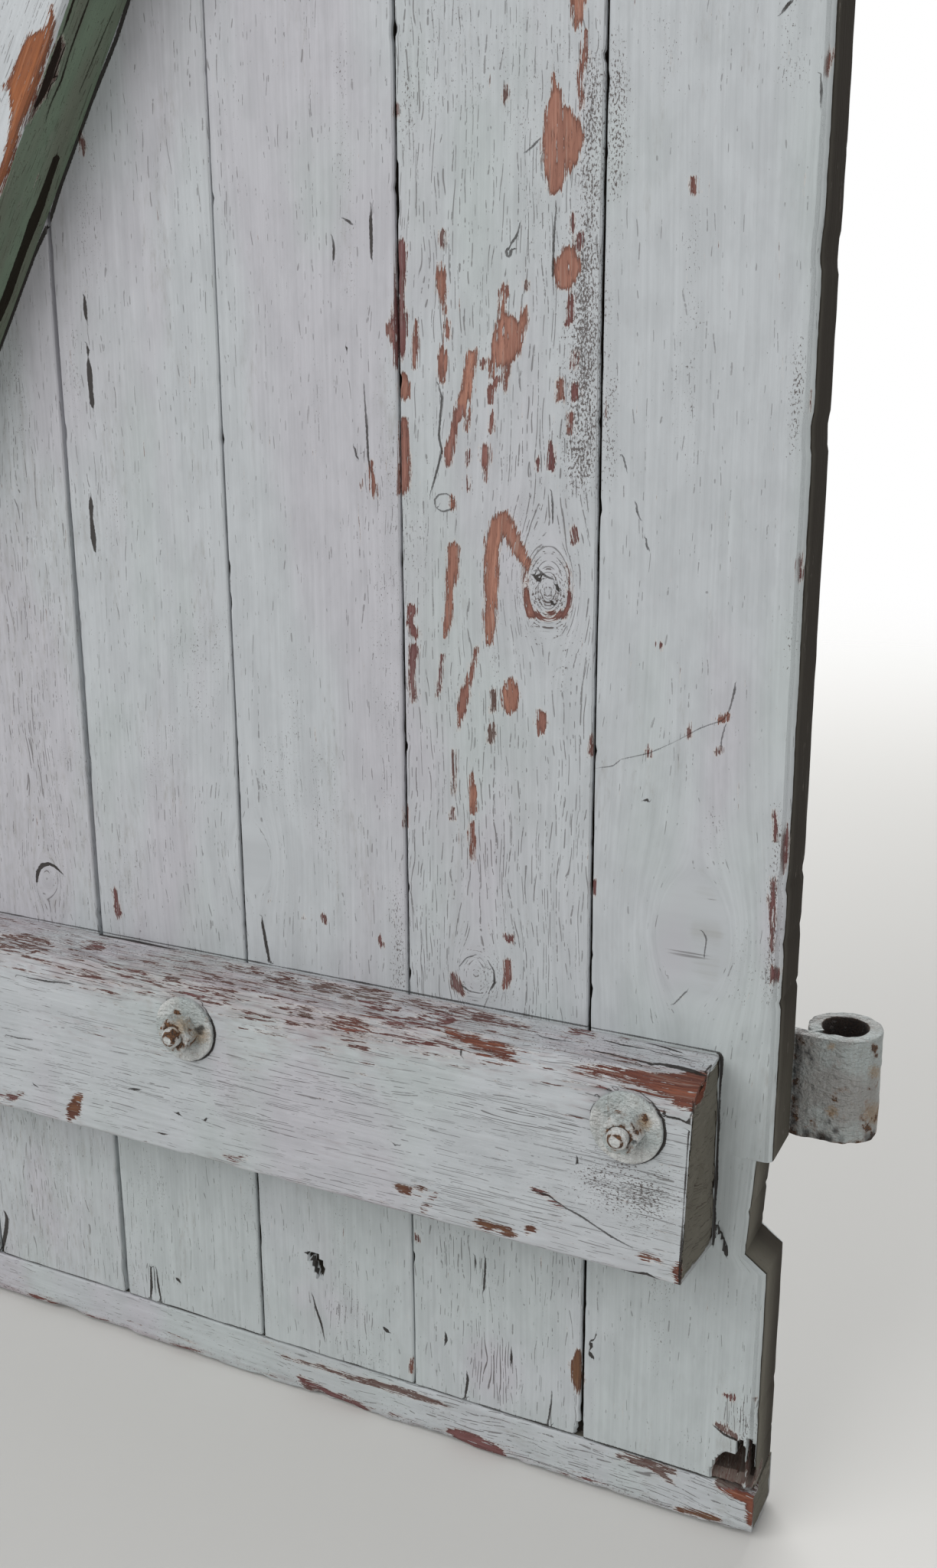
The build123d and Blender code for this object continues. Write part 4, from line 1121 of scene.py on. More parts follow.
def painted_iron(name, paint, creasing, relief):
    """Thick old paint over iron, with rust where it has broken."""
    if name in bpy.data.materials:
        return bpy.data.materials[name]
    scene = bpy.context.scene
    colours, finish = scene.shutter_colours, scene.shutter_finish
    material, tree, surface = new_material(name)
    place = tree.attribute("grain", "Vector")
    rust = place_group(tree, shared_group("Rust"), Place=place, Amount=tree.attribute("rust"))
    tint = tree.step(tree.noise(place, (0.05, 0.05, 0.05), 3.0), 0.42, 0.62)
    base = tree.mix(tint, paint, colours.green)
    coat = place_group(tree, shared_group("Aged Paint"), Grain=place, Paint=base, Grime=colours.grime,
                       Dirt=finish.soiling)
    scale_noise = tree.noise(place, (1.3, 1.3, 1.3), 4.0, 0.65)
    metal = tree.mix(tree.step(scale_noise, 0.4, 0.62), colours.dark_rust, colours.rust)
    skin = tree.mix(tree.math("MULTIPLY", rust["Stain"], 0.5), coat["Color"], colours.rust)
    dimple = tree.step(rust["Lumps"], 0.42, 0.3)
    skin = tree.mix(tree.math("MULTIPLY", dimple, 0.45), skin, colours.grime)
    ripples = tree.noise(place, (0.3, 0.3, 0.75), 3.0, 0.6)
    crease = tree.step(tree.math("ABSOLUTE", tree.math("SUBTRACT", ripples, 0.5)), 0.03, 0.0)
    skin = tree.mix(tree.math("MULTIPLY", crease, creasing), skin, colours.grime)
    uneven = tree.math("MULTIPLY", tree.math("SUBTRACT", scale_noise, 0.5), 1.6)
    stained = tree.step(tree.math("ADD", tree.attribute("ochre"), uneven), 0.3, 1.0)
    skin = tree.mix(tree.math("MULTIPLY", stained, 0.58), skin, colours.ochre)
    shown = tree.mix(rust["Rust"], skin, metal)
    # Dark marks take the dark bore colour: dirt, and painted shade in hollows and gaps.
    shown = tree.mix(tree.math("MULTIPLY", tree.attribute("dirt_and_shade"), 0.85), shown, colours.dirt_and_shade)
    tree.feed(surface.inputs["Base Color"], shown)
    tree.feed(surface.inputs["Roughness"], tree.between(rust["Rust"], 0.48, 0.88))
    height = tree.math("ADD", tree.math("MULTIPLY", rust["Lumps"], 2.2),
                       tree.math("MULTIPLY", rust["Rust"], tree.math("SUBTRACT", scale_noise, 1.0)))
    height = tree.math("ADD", height, tree.math("MULTIPLY", scale_noise, 0.5))
    height = tree.math("ADD", height, tree.math("MULTIPLY", ripples, 1.6))
    bump = tree.add("ShaderNodeBump", {"Height": height, "Strength": 1.0, "Distance": relief})
    tree.feed(surface.inputs["Normal"], bump.outputs["Normal"])
    return material


def nail_finish():
    """Painted over, rusting nail heads, on the CAD's own nails."""
    colours = bpy.context.scene.shutter_colours
    material, tree, surface = new_material("aged_nails")
    place = tree.scale(tree.add("ShaderNodeTexCoord").outputs["Object"], (1 / MM, 1 / MM, 1 / MM))
    rust = place_group(tree, shared_group("Rust"), Place=place, Amount=0.55)
    metal = tree.mix(rust["Lumps"], colours.dark_rust, colours.rust)
    skin = tree.mix(tree.math("MULTIPLY", rust["Stain"], 0.6), colours.nail, colours.rust)
    tree.feed(surface.inputs["Base Color"], tree.mix(rust["Rust"], skin, metal))
    tree.feed(surface.inputs["Roughness"], tree.between(rust["Rust"], 0.5, 0.88))
    bump = tree.add("ShaderNodeBump", {"Height": rust["Lumps"], "Strength": 0.7, "Distance": 0.0004})
    tree.feed(surface.inputs["Normal"], bump.outputs["Normal"])
    return material


# Boards

ARRIS = 0.7
EDGE_ARRIS = 2.8
TONGUE_HALF = 3.75
GROOVE_HALF = 3.95
TONGUE_REACH = 8.2
GROOVE_DEPTH = 7.2
CAD_JOINT_GAP = 1.2
EDGE_BAND = 16.0

# Joint widths that the photograph shows at its foot and its top, counted from the hinge edge.
JOINT_WIDTHS = {1: (1.1, 1.2), 2: (0.55, 1.15), 3: (1.5, 0.4), 4: (2.5, 1.8)}
COMMON_JOINT_WIDTHS = (1.5, 1.5)
# Depth of the paint in the joints that it has filled.
FILLED_JOINTS = {3: 2.2, 4: 2.9}
GREY_JOINT = 4

NOTCH_TOP_DROP = 20.0
NOTCH_HEIGHT = 46.0
NOTCH_TOP_DEPTH = 5.8
NOTCH_LOW_DEPTH = 8.5
NOTCH_SLOPE = 6.0

ROT_DEPTH = 7.0
# Height of the rotten pocket above the rail, by the distance from the hinge edge.
ROT_DISTANCES = (0.0, 0.8, 1.4, 3.4, 3.6, 4.6, 4.9, 7.0, 7.4, 10.8, 14.4, 16.6, 17.2)
ROT_HEIGHTS = (8.0, 12.0, 22.0, 24.0, 13.0, 13.0, 22.0, 21.0, 15.0, 14.8, 12.5, 7.2, 0.0)
ROT_SPLINTER = 4.1


def joint_half(index, heights):
    """Half the width of a joint at each height, or nothing at the outer edges."""
    if index in (0, BOARD_COUNT):
        return np.zeros(len(heights))
    return np.interp(heights, (BOARDS_LOW_Z, PHOTO_TOP_Z), JOINT_WIDTHS.get(index, COMMON_JOINT_WIDTHS)) / 2


def board_outline(index, step):
    """Outline of a board in plan, from its front round by the free-edge side."""
    right = BOARD_BOXES[index][1][0]
    left = BOARD_BOXES[index][0][0] if index == BOARD_COUNT - 1 else BOARD_BOXES[index + 1][1][0] + CAD_JOINT_GAP
    plain_left, plain_right = index == BOARD_COUNT - 1, index == 0
    left_arris = EDGE_ARRIS if plain_left else ARRIS
    right_arris = EDGE_ARRIS if plain_right else ARRIS
    points = line((right - right_arris, FRONT_Y), (left + left_arris, FRONT_Y), step)
    points += bend((left + left_arris, FRONT_Y + left_arris), left_arris, 270, 180, 3)
    if plain_left:
        points += line((left, FRONT_Y + left_arris), (left, BACK_Y - left_arris), 2.0)
    else:
        tongue_left = left - TONGUE_REACH
        if index + 1 in FILLED_JOINTS:
            filled_y, filled_x = FRONT_Y + FILLED_JOINTS[index + 1], left - CAD_JOINT_GAP - 0.6
            points += [np.array([left, FRONT_Y + ARRIS]), np.array([left, filled_y])]
            points += line((filled_x, filled_y), (filled_x, MIDDLE_Y - TONGUE_HALF), 2.5)
            points += line((filled_x, MIDDLE_Y - TONGUE_HALF), (tongue_left, MIDDLE_Y - TONGUE_HALF), 4.2)
        else:
            points += line((left, FRONT_Y + ARRIS), (left, MIDDLE_Y - TONGUE_HALF), 2.5)
            points += line((left, MIDDLE_Y - TONGUE_HALF), (tongue_left, MIDDLE_Y - TONGUE_HALF), 4.2)
        points += line((tongue_left, MIDDLE_Y - TONGUE_HALF), (tongue_left, MIDDLE_Y + TONGUE_HALF), 4.0)
        points += line((tongue_left, MIDDLE_Y + TONGUE_HALF), (left, MIDDLE_Y + TONGUE_HALF), 4.2)
        points += line((left, MIDDLE_Y + TONGUE_HALF), (left, BACK_Y - ARRIS), 4.0)
    points += bend((left + left_arris, BACK_Y - left_arris), left_arris, 180, 90, 3)
    points += line((left + left_arris, BACK_Y), (right - right_arris, BACK_Y), 4.0)
    points += bend((right - right_arris, BACK_Y - right_arris), right_arris, 90, 0, 3)
    if plain_right:
        points += line((right, BACK_Y - right_arris), (right, FRONT_Y + right_arris), 1.5)
    else:
        groove = right - GROOVE_DEPTH
        points += line((right, BACK_Y - ARRIS), (right, MIDDLE_Y + GROOVE_HALF), 4.0)
        points += line((right, MIDDLE_Y + GROOVE_HALF), (groove, MIDDLE_Y + GROOVE_HALF), 4.0)
        points += line((groove, MIDDLE_Y + GROOVE_HALF), (groove, MIDDLE_Y - GROOVE_HALF), 4.0)
        points += line((groove, MIDDLE_Y - GROOVE_HALF), (right, MIDDLE_Y - GROOVE_HALF), 4.0)
        points += line((right, MIDDLE_Y - GROOVE_HALF), (right, FRONT_Y + ARRIS), 2.5)
    points += bend((right - right_arris, FRONT_Y + right_arris), right_arris, 0, -90, 3)
    return np.array(points), left, right


def board_levels(index):
    """Heights of a board's rows, closest where the photograph shows most."""
    foot_z = BOARDS_LOW_Z + RAIL_GAP
    if index == 0:
        notch = [(z - NOTCH_TOP_DROP - NOTCH_HEIGHT, z - NOTCH_TOP_DROP) for z in (0.0, UPPER_EYE_Z)]
        return levels(
            (foot_z, BOARDS_LOW_Z + 32, 0.8),
            (BOARDS_LOW_Z + 32, notch[0][0], 2.0),
            (notch[0][0], notch[0][0] + NOTCH_SLOPE, 1.0),
            (notch[0][0] + NOTCH_SLOPE, notch[0][1] - 0.05, 2.0),
            (notch[0][1] - 0.05, notch[0][1] + 0.05, 0.1),
            (notch[0][1] + 0.05, PHOTO_TOP_Z, 2.2),
            (PHOTO_TOP_Z, notch[1][0], 8.0),
            (notch[1][0], notch[1][0] + NOTCH_SLOPE, 2.0),
            (notch[1][0] + NOTCH_SLOPE, notch[1][1] - 0.05, 6.0),
            (notch[1][1] - 0.05, notch[1][1] + 0.05, 0.1),
            (notch[1][1] + 0.05, BOARDS_HIGH_Z, 8.0),
        )
    if index > 4:
        return levels((foot_z, BOARDS_HIGH_Z, 7.0))
    fine = 1.4 if index == 1 else 2.5
    return levels((foot_z, PHOTO_TOP_Z, fine), (PHOTO_TOP_Z, BOARDS_HIGH_Z, 9.0))


def notch_depth(z):
    """Depth of the pintle notches from the hinge edge at each height."""
    depth = np.zeros(len(z))
    for eye_z in (0.0, UPPER_EYE_Z):
        top = eye_z - NOTCH_TOP_DROP
        low = top - NOTCH_HEIGHT
        inside = (z >= low) & (z <= top)
        at = np.interp(z, (low, low + NOTCH_SLOPE, top), (0.0, NOTCH_LOW_DEPTH, NOTCH_TOP_DEPTH))
        depth = np.where(inside, at, depth)
    return depth


def rot_depth(x, z):
    """Depth of the rotten pocket at the foot of the hinge board."""
    distance, height = HINGE_EDGE_X - x, z - BOARDS_LOW_Z
    places = np.stack([x, np.zeros(len(x)), z], axis=1)
    edge = noise(places, (3.0, 1, 3.5), 71)
    inside = rise(np.interp(distance, ROT_DISTANCES, ROT_HEIGHTS, right=-5.0) + edge - height, -0.3, 0.9)
    rough = 1.2 * noise(places, (1.6, 1, 7.0), 72) + 0.7 * noise(places, (0.9, 1, 2.5), 73)
    splinter = 5.2 * np.exp(-((distance - ROT_SPLINTER) / 0.7) ** 2) + 4.8 * rise(-distance, -1.6, -0.6)
    slope = 0.3 + 0.7 * rise(height, 1.0, 6.5)
    return inside * np.clip((ROT_DEPTH + rough - splinter) * slope, 0.5, 8.6)


def pit_depth(points):
    """Depth of the holes in the boards."""
    depth = np.zeros(len(points))
    flat = points * (1, 0, 1)
    for deep, marks in BOARD_PITS.values():
        chain = drawn(marks, on_boards, (1, 0)) * (1, 0, 1, 1)
        near = near_chain(flat + (0, 0.5, 0), chain + (0, 0.5, 0, 0), 3.0)
        gap = chain_gap(flat[near], chain)
        depth[near] = np.maximum(depth[near], deep * rise(-gap, -0.4, 1.1))
    return depth


def knot_places():
    """Knots of the boards in millimetres: x, z, radius and relief."""
    return [(*on_boards(x, y)[[0, 2]], radius, relief) for x, y, radius, relief in BOARD_KNOTS.values()]


def board_relief(points, index):
    """How far the surface of a board lies behind its plane."""
    x, z = points[:, 0], points[:, 2]
    wave = bpy.context.scene.shutter_sizes.surface_wave / MM
    flat = np.stack([x, np.full(len(x), index * 50.0), z], axis=1)
    relief = wave * (0.6 * noise(flat, (11.0, 30, 140.0), 11) + 0.4 * noise(flat, (3.5, 30, 60.0), 12)) + wave * 0.5
    for knot_x, knot_z, radius, knot_relief in knot_places():
        away = np.hypot(x - knot_x, z - knot_z)
        ring, crown = np.exp(-((away - radius) / 1.1) ** 2), np.exp(-(away / radius) ** 2)
        relief += knot_relief * (ring - 0.7 * crown)
    relief += pit_depth(points)
    if index == 0:
        relief = np.maximum(relief, rot_depth(x, z))
    return relief


def board_rows(index):
    """Rows of points of one board, and its outline in plan."""
    sizes = bpy.context.scene.shutter_sizes
    step = sizes.board_step / MM * (1.0 if index < 5 else 2.6)
    outline, left, right = board_outline(index, step)
    heights = board_levels(index)
    row_count, ring_count = len(heights), len(outline)
    x = np.repeat(outline[None, :, 0], row_count, axis=0)
    y = np.repeat(outline[None, :, 1], row_count, axis=0)
    z = np.repeat(heights[:, None], ring_count, axis=1)
    wander = sizes.joint_wander / MM
    chips = [-0.7 * rise(line_noise(heights, 7.0, seed + index), 0.7, 1.0) for seed in (31, 41)]
    drift = [wander * line_noise(heights, 70.0, seed + index) + 0.3 * wander * line_noise(heights, 8.0, seed + 7 + index)
             for seed in (51, 61)]
    spare_right = joint_half(index, heights) - (CAD_JOINT_GAP / 2 if index else 0)
    spare_left = joint_half(index + 1, heights) - (CAD_JOINT_GAP / 2 if index < BOARD_COUNT - 1 else 0)
    pull_right = chips[0] + np.minimum(drift[0], 0.2) - spare_right - (notch_depth(heights) if index == 0 else 0)
    pull_left = -chips[1] + np.maximum(drift[1], -0.2) + spare_left
    near_right = np.clip(1 - (right - outline[:, 0]) / EDGE_BAND, 0, 1)
    near_left = np.where(outline[:, 0] >= left, np.clip(1 - (outline[:, 0] - left) / 6.0, 0, 1), 0)
    if index:
        near_right = np.clip(1 - (right - outline[:, 0]) / 6.0, 0, 1)
    x = x + pull_right[:, None] * near_right[None, :] + pull_left[:, None] * near_left[None, :]
    points = np.stack([x, y, z], axis=2).reshape(-1, 3)
    depth_share = np.clip(1 - (points[:, 1] - FRONT_Y) / (BACK_Y - FRONT_Y), 0, 1)
    behind = (np.abs(points[:, 1] - MIDDLE_Y) <= GROOVE_HALF + 0.01) & (index > 0)
    relief = board_relief(points, index)
    points[:, 1] += np.where(behind, 0, relief * depth_share)
    return points.reshape(row_count, ring_count, 3), outline


def speck_field(points):
    """Where the boards of the photograph are flaked into specks."""
    specks = np.zeros(len(points))
    for x, y_top, y_low, spread, strength in SPECK_BANDS.values():
        top, low = on_boards(x, y_top), on_boards(x, y_low)
        side = np.abs(points[:, 0] - (top[0] + low[0]) / 2)
        inside = rise(points[:, 2], low[2] - 14, low[2] + 10) * rise(-points[:, 2], -top[2] - 14, -top[2] + 10)
        specks = np.maximum(specks, strength * np.exp(-(side / spread) ** 2) * inside)
    return specks


# Bands of flaked specks: x, top y and low y in the photograph, half width in millimetres and strength.
SPECK_BANDS = {
    "right of the big peel": (774, 60, 320, 6.5, 0.9),
    "dense band": (764, 300, 640, 8.5, 1.0),
    "beyond the joint": (806, 60, 260, 5.0, 0.85),
    "beyond the joint low": (796, 480, 640, 4.0, 0.7),
    "left joint": (535, 70, 200, 5.0, 0.6),
    "round the knot": (716, 720, 830, 12.0, 0.75),
    "below the knot": (735, 845, 900, 8.0, 0.5),
    "disc": (640, 1245, 1310, 10.0, 0.6),
    "edge": (1037, 760, 870, 3.5, 0.5),
    "edge stain": (1040, 440, 600, 3.0, 0.75),
    "edge low": (1012, 1060, 1310, 3.5, 0.8),
    "joint foot": (520, 1150, 1300, 4.0, 0.7),
    "hinge foot": (975, 1830, 1900, 6.0, 0.6),
}

# How crazed the paint of each board is, from the hinge edge, as a share of the common cracking.
BOARD_CRAZING = (0.35, 0.85, 0.5, 0.5, 0.7, 0.8, 0.6, 0.8)
# Crazed places: a point of the photograph, the spread across and up in millimetres, and the strength.
CRAZED_PLACES = {
    "second board foot": (645, 1790, 22, 22, 1.6),
    "second board low": (660, 1120, 22, 45, 1.0),
    "second board middle": (650, 700, 24, 70, 0.9),
    "third board edge": (478, 620, 10, 100, 0.8),
    "fourth board low": (215, 1100, 20, 40, 0.7),
    "fifth board": (40, 960, 24, 60, 1.0),
    "fifth board foot": (60, 1600, 20, 30, 0.5),
    "hinge board low": (900, 1250, 22, 22, 0.75),
    "hinge board foot": (968, 1845, 9, 12, 1.3),
    "third board foot": (440, 1712, 26, 9, 1.0),
    "hinge board edge": (1010, 1230, 6, 30, 1.0),
}
LEDGE_CRAZED_PLACES = {
    "ledge middle": (660, 1450, 45, 12, 1.7),
    "ledge left": (110, 1340, 35, 12, 1.2),
    "ledge right": (835, 1555, 26, 13, 1.6),
    "ledge left middle": (350, 1465, 24, 12, 1.4),
    "ledge low middle": (420, 1480, 40, 10, 0.6),
}


def crazed(points, places, place):
    """Strength of the crazing that the photograph shows at each place."""
    strength = np.zeros(len(points))
    for x, y, across, up, most in places.values():
        middle = place(x, y)
        away = ((points[:, 0] - middle[0]) / across) ** 2 + ((points[:, 2] - middle[2]) / up) ** 2
        strength = np.maximum(strength, most * np.exp(-away))
    return strength


# How far each board's paint leans towards mauve, towards green and towards grime, from the hinge edge. The fifth
# board's strong lean towards grime is painted shade from the brace.
BOARD_WARMTH = (-0.2, 0.0, 0.2, 0.15, 0.25, 0.1, 0.0, 0.1)
BOARD_COOLNESS = (0.2, 0.1, -0.1, 0.0, -0.1, 0.0, 0.1, 0.0)
BOARD_GRIME_AND_SHADE = (0.0, 0.0, 0.0, 0.05, 0.6, 0.1, 0.2, 0.0)


def cloud(places, stretch, seed):
    """Noise in three sizes, from about -1 to 1."""
    stretch = np.array(stretch, float)
    shares = ((0.55, 1.0), (0.3, 2.1), (0.15, 4.7))
    return sum(share * noise(places, stretch / finer, seed + number)
               for number, (share, finer) in enumerate(shares))


def paint_tints(points, warm, cool, grime_and_shade):
    """Shares of the mauve tint, the green tint and grime at each place, with the leanings towards each; the lean
    towards grime also paints shade.
    """
    mauve = rise(cloud(points, (40, 40, 130), 901) + warm, -0.05, 0.5)
    green = rise(cloud(points, (45, 45, 110), 911) + cool, 0.0, 0.5)
    grime = rise(cloud(points, (14, 14, 60), 921) + grime_and_shade, -0.1, 0.6)
    return np.stack([mauve, green, grime], axis=1)


def wood_fields(points, normals, grain, peels, cracks, weather=0.0, craze=0.5, specks=0.0, coat=0.0,
                warm=0.0, cool=0.0, grime_and_shade=0.0):
    """All fields that the painted wood reads."""
    bare, tone = peel_fields(points, peels)
    side, width = crack_fields(points, normals, cracks)
    count = len(points)
    return {
        "grain": np.pad(grain, ((0, 0), (0, 1))),
        "tint": paint_tints(points, warm, cool, grime_and_shade),
        "bare": bare,
        "tone": tone,
        "crack_side": side,
        "crack_width": width,
        "weather": np.broadcast_to(weather, count).copy(),
        "craze": np.broadcast_to(craze, count).copy(),
        "specks": np.broadcast_to(specks, count).copy(),
        "coat": np.broadcast_to(coat, count).copy(),
    }


def drawn_peels(marks, place, across):
    """Peeled places of the photograph as chains with their tones."""
    return [(tone, drawn(points, place, across)) for tone, points in marks.values()]


def drawn_cracks(marks, place, across):
    """Cracks of the photograph as chains, a little narrower than their blurred image."""
    return [drawn(points, place, across) * (1, 1, 1, 0.8) for points in marks.values()]


def make_board(index):
    """One board, with everything that the photograph shows on it."""
    scene = bpy.context.scene
    rows, outline = board_rows(index)
    points = rows.reshape(-1, 3)
    x, y, z = points.T
    low_x, high_x = x.min(), x.max()
    peels = drawn_peels(BOARD_PEELS, on_boards, (1, 0))
    peels += scattered_peels(200 + index, (low_x + 4, FRONT_Y, PHOTO_TOP_Z + 10), (high_x - 4, FRONT_Y, 740), 2, 7)
    peels += scattered_peels(300 + index, (low_x + 12, BACK_Y, -120), (high_x - 4, BACK_Y, 900), 2, 12)
    if index > 4:
        peels += scattered_peels(400 + index, (low_x + 4, FRONT_Y, 40), (high_x - 4, FRONT_Y, PHOTO_TOP_Z), 2, 6)
    cracks = drawn_cracks(BOARD_CRACKS, on_boards, (1, 0))
    ledge_right, ledge_top = LOWER_LEDGE[1][0], LOWER_LEDGE[1][2]
    # Painted shade where the boards meet the ledge's top and end and the bottom rail.
    cracks.append(seam((ledge_right, FRONT_Y, ledge_top + 0.4), (PHOTO_LEFT_X, FRONT_Y, ledge_top + 0.4), 0.38, 81))
    cracks.append(seam((ledge_right + 0.3, FRONT_Y, LOWER_LEDGE[0][2]), (ledge_right + 0.3, FRONT_Y, ledge_top), 0.8, 82))
    foot_z = BOARDS_LOW_Z + RAIL_GAP
    cracks.append(seam((HINGE_EDGE_X - 18, FRONT_Y, foot_z), (PHOTO_LEFT_X, FRONT_Y, foot_z), 0.55, 83))
    normals = np.tile((0.0, -1.0, 0.0), (len(points), 1))
    around = np.tile(girth(outline), len(rows)) - knot_grain(x, z, knot_places())
    grain = np.stack([around + index * 137.0 + 1.5 * noise(points, (60, 60, 90), 5), z + index * 219.0], axis=1)
    specks = np.maximum(speck_field(points), 0.35 * rise(noise(points, (14, 40, 50), 21), 0.25, 0.7))
    # The side faces of the boards take the dark second coat: weathered wood, darkened further as painted shade.
    inside_joint = rise(y, FRONT_Y + 1.2, FRONT_Y + 3.0) * rise(-y, -BACK_Y + 1.2, -BACK_Y + 3.0)
    grey_fill = (np.abs(x - BOARD_BOXES[GREY_JOINT][1][0]) < 4) * rise(y, FRONT_Y + 0.6, FRONT_Y + 1.3) * (y < MIDDLE_Y)
    inside_joint = inside_joint * (1 - grey_fill)
    crazing = crazed(points, CRAZED_PLACES, on_boards)
    craze = np.maximum(BOARD_CRAZING[index], crazing)
    craze *= scene.shutter_finish.cracking * (1 + 0.45 * noise(points, (18, 60, 70), 22))
    colours = scene.shutter_colours
    below_ledge = rise(-z, 40, 75)
    fields = wood_fields(points, normals, grain, peels, cracks, 0.0, craze, specks, inside_joint,
                         BOARD_WARMTH[index] - 0.5 * below_ledge + 0.55 * crazing,
                         0.45 * below_ledge + BOARD_COOLNESS[index] - 0.3 * crazing, BOARD_GRIME_AND_SHADE[index])
    if index == 0:
        rotten = np.where(y < FRONT_Y + 12, rot_depth(x, z), 0.0)
        fields["bare"] = np.minimum(fields["bare"], np.maximum(2.2 - 1.5 * rotten, -1.8))
        fields["tone"] = np.where(rotten > 0.8, 1.0, fields["tone"])
        # The deepest part of the rotten pocket takes the open crack colour: painted shade in the hollow.
        deep = rise(rotten, 3.8, 5.6)
        fields["crack_side"] = np.where(deep > 0.1, 0.0, fields["crack_side"])
        fields["crack_width"] = np.where(deep > 0.1, 0.2 * deep, fields["crack_width"])
        # Painted light on the hinge edge: its dark coat is lightened towards the front arris, round the lower eye and
        # low down, where more light reaches it; elsewhere it stays dark as painted shade.
        inner = rise(y - FRONT_Y, 22.0, 4.0)
        paler = 0.3 * rise(y - FRONT_Y, 9.0, 2.0) + 0.45 * np.exp(-((z + 5) / 32) ** 2)
        paler += rise(-z, 15, 35) * (0.1 + 0.8 * inner)
        fields["coat"] = np.where(x > HINGE_EDGE_X - 9, inside_joint + np.clip(paler, 0, 1) * inside_joint, inside_joint)
    if index == BOARD_COUNT - 1:
        fields["coat"] = np.where(x < FREE_EDGE_X + 9, 1.4 * inside_joint, inside_joint)
    # Second paint of the boards: the dark edge colour, weathered wood and painted shade.
    material = painted_wood("aged_boards", colours.paint, colours.edge, colours.clay_wood)
    piece = make_piece(f"board_{index + 1}_dressed", rows, fields, material)
    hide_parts(f"board_{index + 1}")


# Rails

RAIL_ARRIS = 1.2
RAIL_FOOT_ARRIS = 1.6
RAIL_SAG = 1.3
RAIL_BULGE = 1.9
RAIL_BULGE_X = -185.0
RAIL_BULGE_REACH = 120.0
RAIL_END_RINGS = 5
BREAK_LENGTH = 15.0
BREAK_DROP = 2.0
BREAK_DEPTH = 8.0


def bar_outline(low, high, front_step, front_arris, foot_arris, back_arris=1.5):
    """Outline across a level bar in y and z, from the back of its top over its front."""
    front, back = low[1], high[1]
    bottom, top = low[2], high[2]
    points = line((back - back_arris, top), (front + front_arris, top), front_step * 1.2)
    points += bend((front + front_arris, top - front_arris), front_arris, 90, 180, max(3, round(front_arris * 1.4)))
    points += line((front, top - front_arris), (front, bottom + foot_arris), front_step)
    points += bend((front + foot_arris, bottom + foot_arris), foot_arris, 180, 270, 3)
    points += line((front + foot_arris, bottom), (back - back_arris, bottom), front_step * 2)
    points += bend((back - back_arris, bottom + back_arris), back_arris, 270, 360, 2)
    points += line((back, bottom + back_arris), (back, top - back_arris), front_step * 4)
    points += bend((back - back_arris, top - back_arris), back_arris, 0, 90, 2)
    return np.array(points)


def bar_rows(outline, places, wear):
    """Rows along x of an outline in y and z, moved inwards by the wear at each point."""
    normals = outline_normals(outline)
    row_count, ring_count = len(places), len(outline)
    x = np.repeat(places[:, None], ring_count, axis=1)
    y = np.repeat(outline[None, :, 0], row_count, axis=0)
    z = np.repeat(outline[None, :, 1], row_count, axis=0)
    flat = np.stack([x, y, z], axis=2).reshape(-1, 3)
    depth = wear(flat).reshape(row_count, ring_count)
    y = y - normals[None, :, 0] * depth
    z = z - normals[None, :, 1] * depth
    return np.stack([x, y, z], axis=2)


def end_rows(rows, end, direction, centre, count, roughness, seed):
    """Rough sawn end: rings that shrink towards the centre of the last row."""
    ring = rows[end]
    rings = []
    for number in range(1, count + 1):
        share = 1 - number / (count + 0.6)
        shrunk = ring.copy()
        shrunk[:, 1:] = centre + (ring[:, 1:] - centre) * share
        places = shrunk * (0, 1, 1)
        rough = roughness * (0.6 * noise(places, (1, 2.2, 3.5), seed) + 0.4 * noise(places, (1, 0.9, 1.2), seed + 1))
        shrunk[:, 0] = ring[:, 0] + direction * (np.minimum(rough, 0.15) - 0.05)
        rings.append(shrunk)
    return np.array(rings)


def with_ends(rows, centre, count, roughness, seed):
    """Rows with a rough end on both sides."""
    first = end_rows(rows, 0, -1, centre, count, roughness, seed)
    last = end_rows(rows, -1, 1, centre, count, roughness, seed + 5)
    return np.concatenate([first[::-1], rows, last])


def bar_grain(rows, outline, end_count, seed):
    """Grain of a level bar: distance round it and along it, and plain places on its sawn ends."""
    x, y, z = rows.reshape(-1, 3).T
    numbers = np.repeat(np.arange(len(rows)), len(outline))
    sawn = (numbers < end_count) | (numbers >= len(rows) - end_count)
    around = np.tile(girth(outline), len(rows)) + 1.2 * noise(rows.reshape(-1, 3), (70, 20, 20), seed)
    return np.stack([np.where(sawn, z, around) + seed, np.where(sawn, y, x)], axis=1), sawn


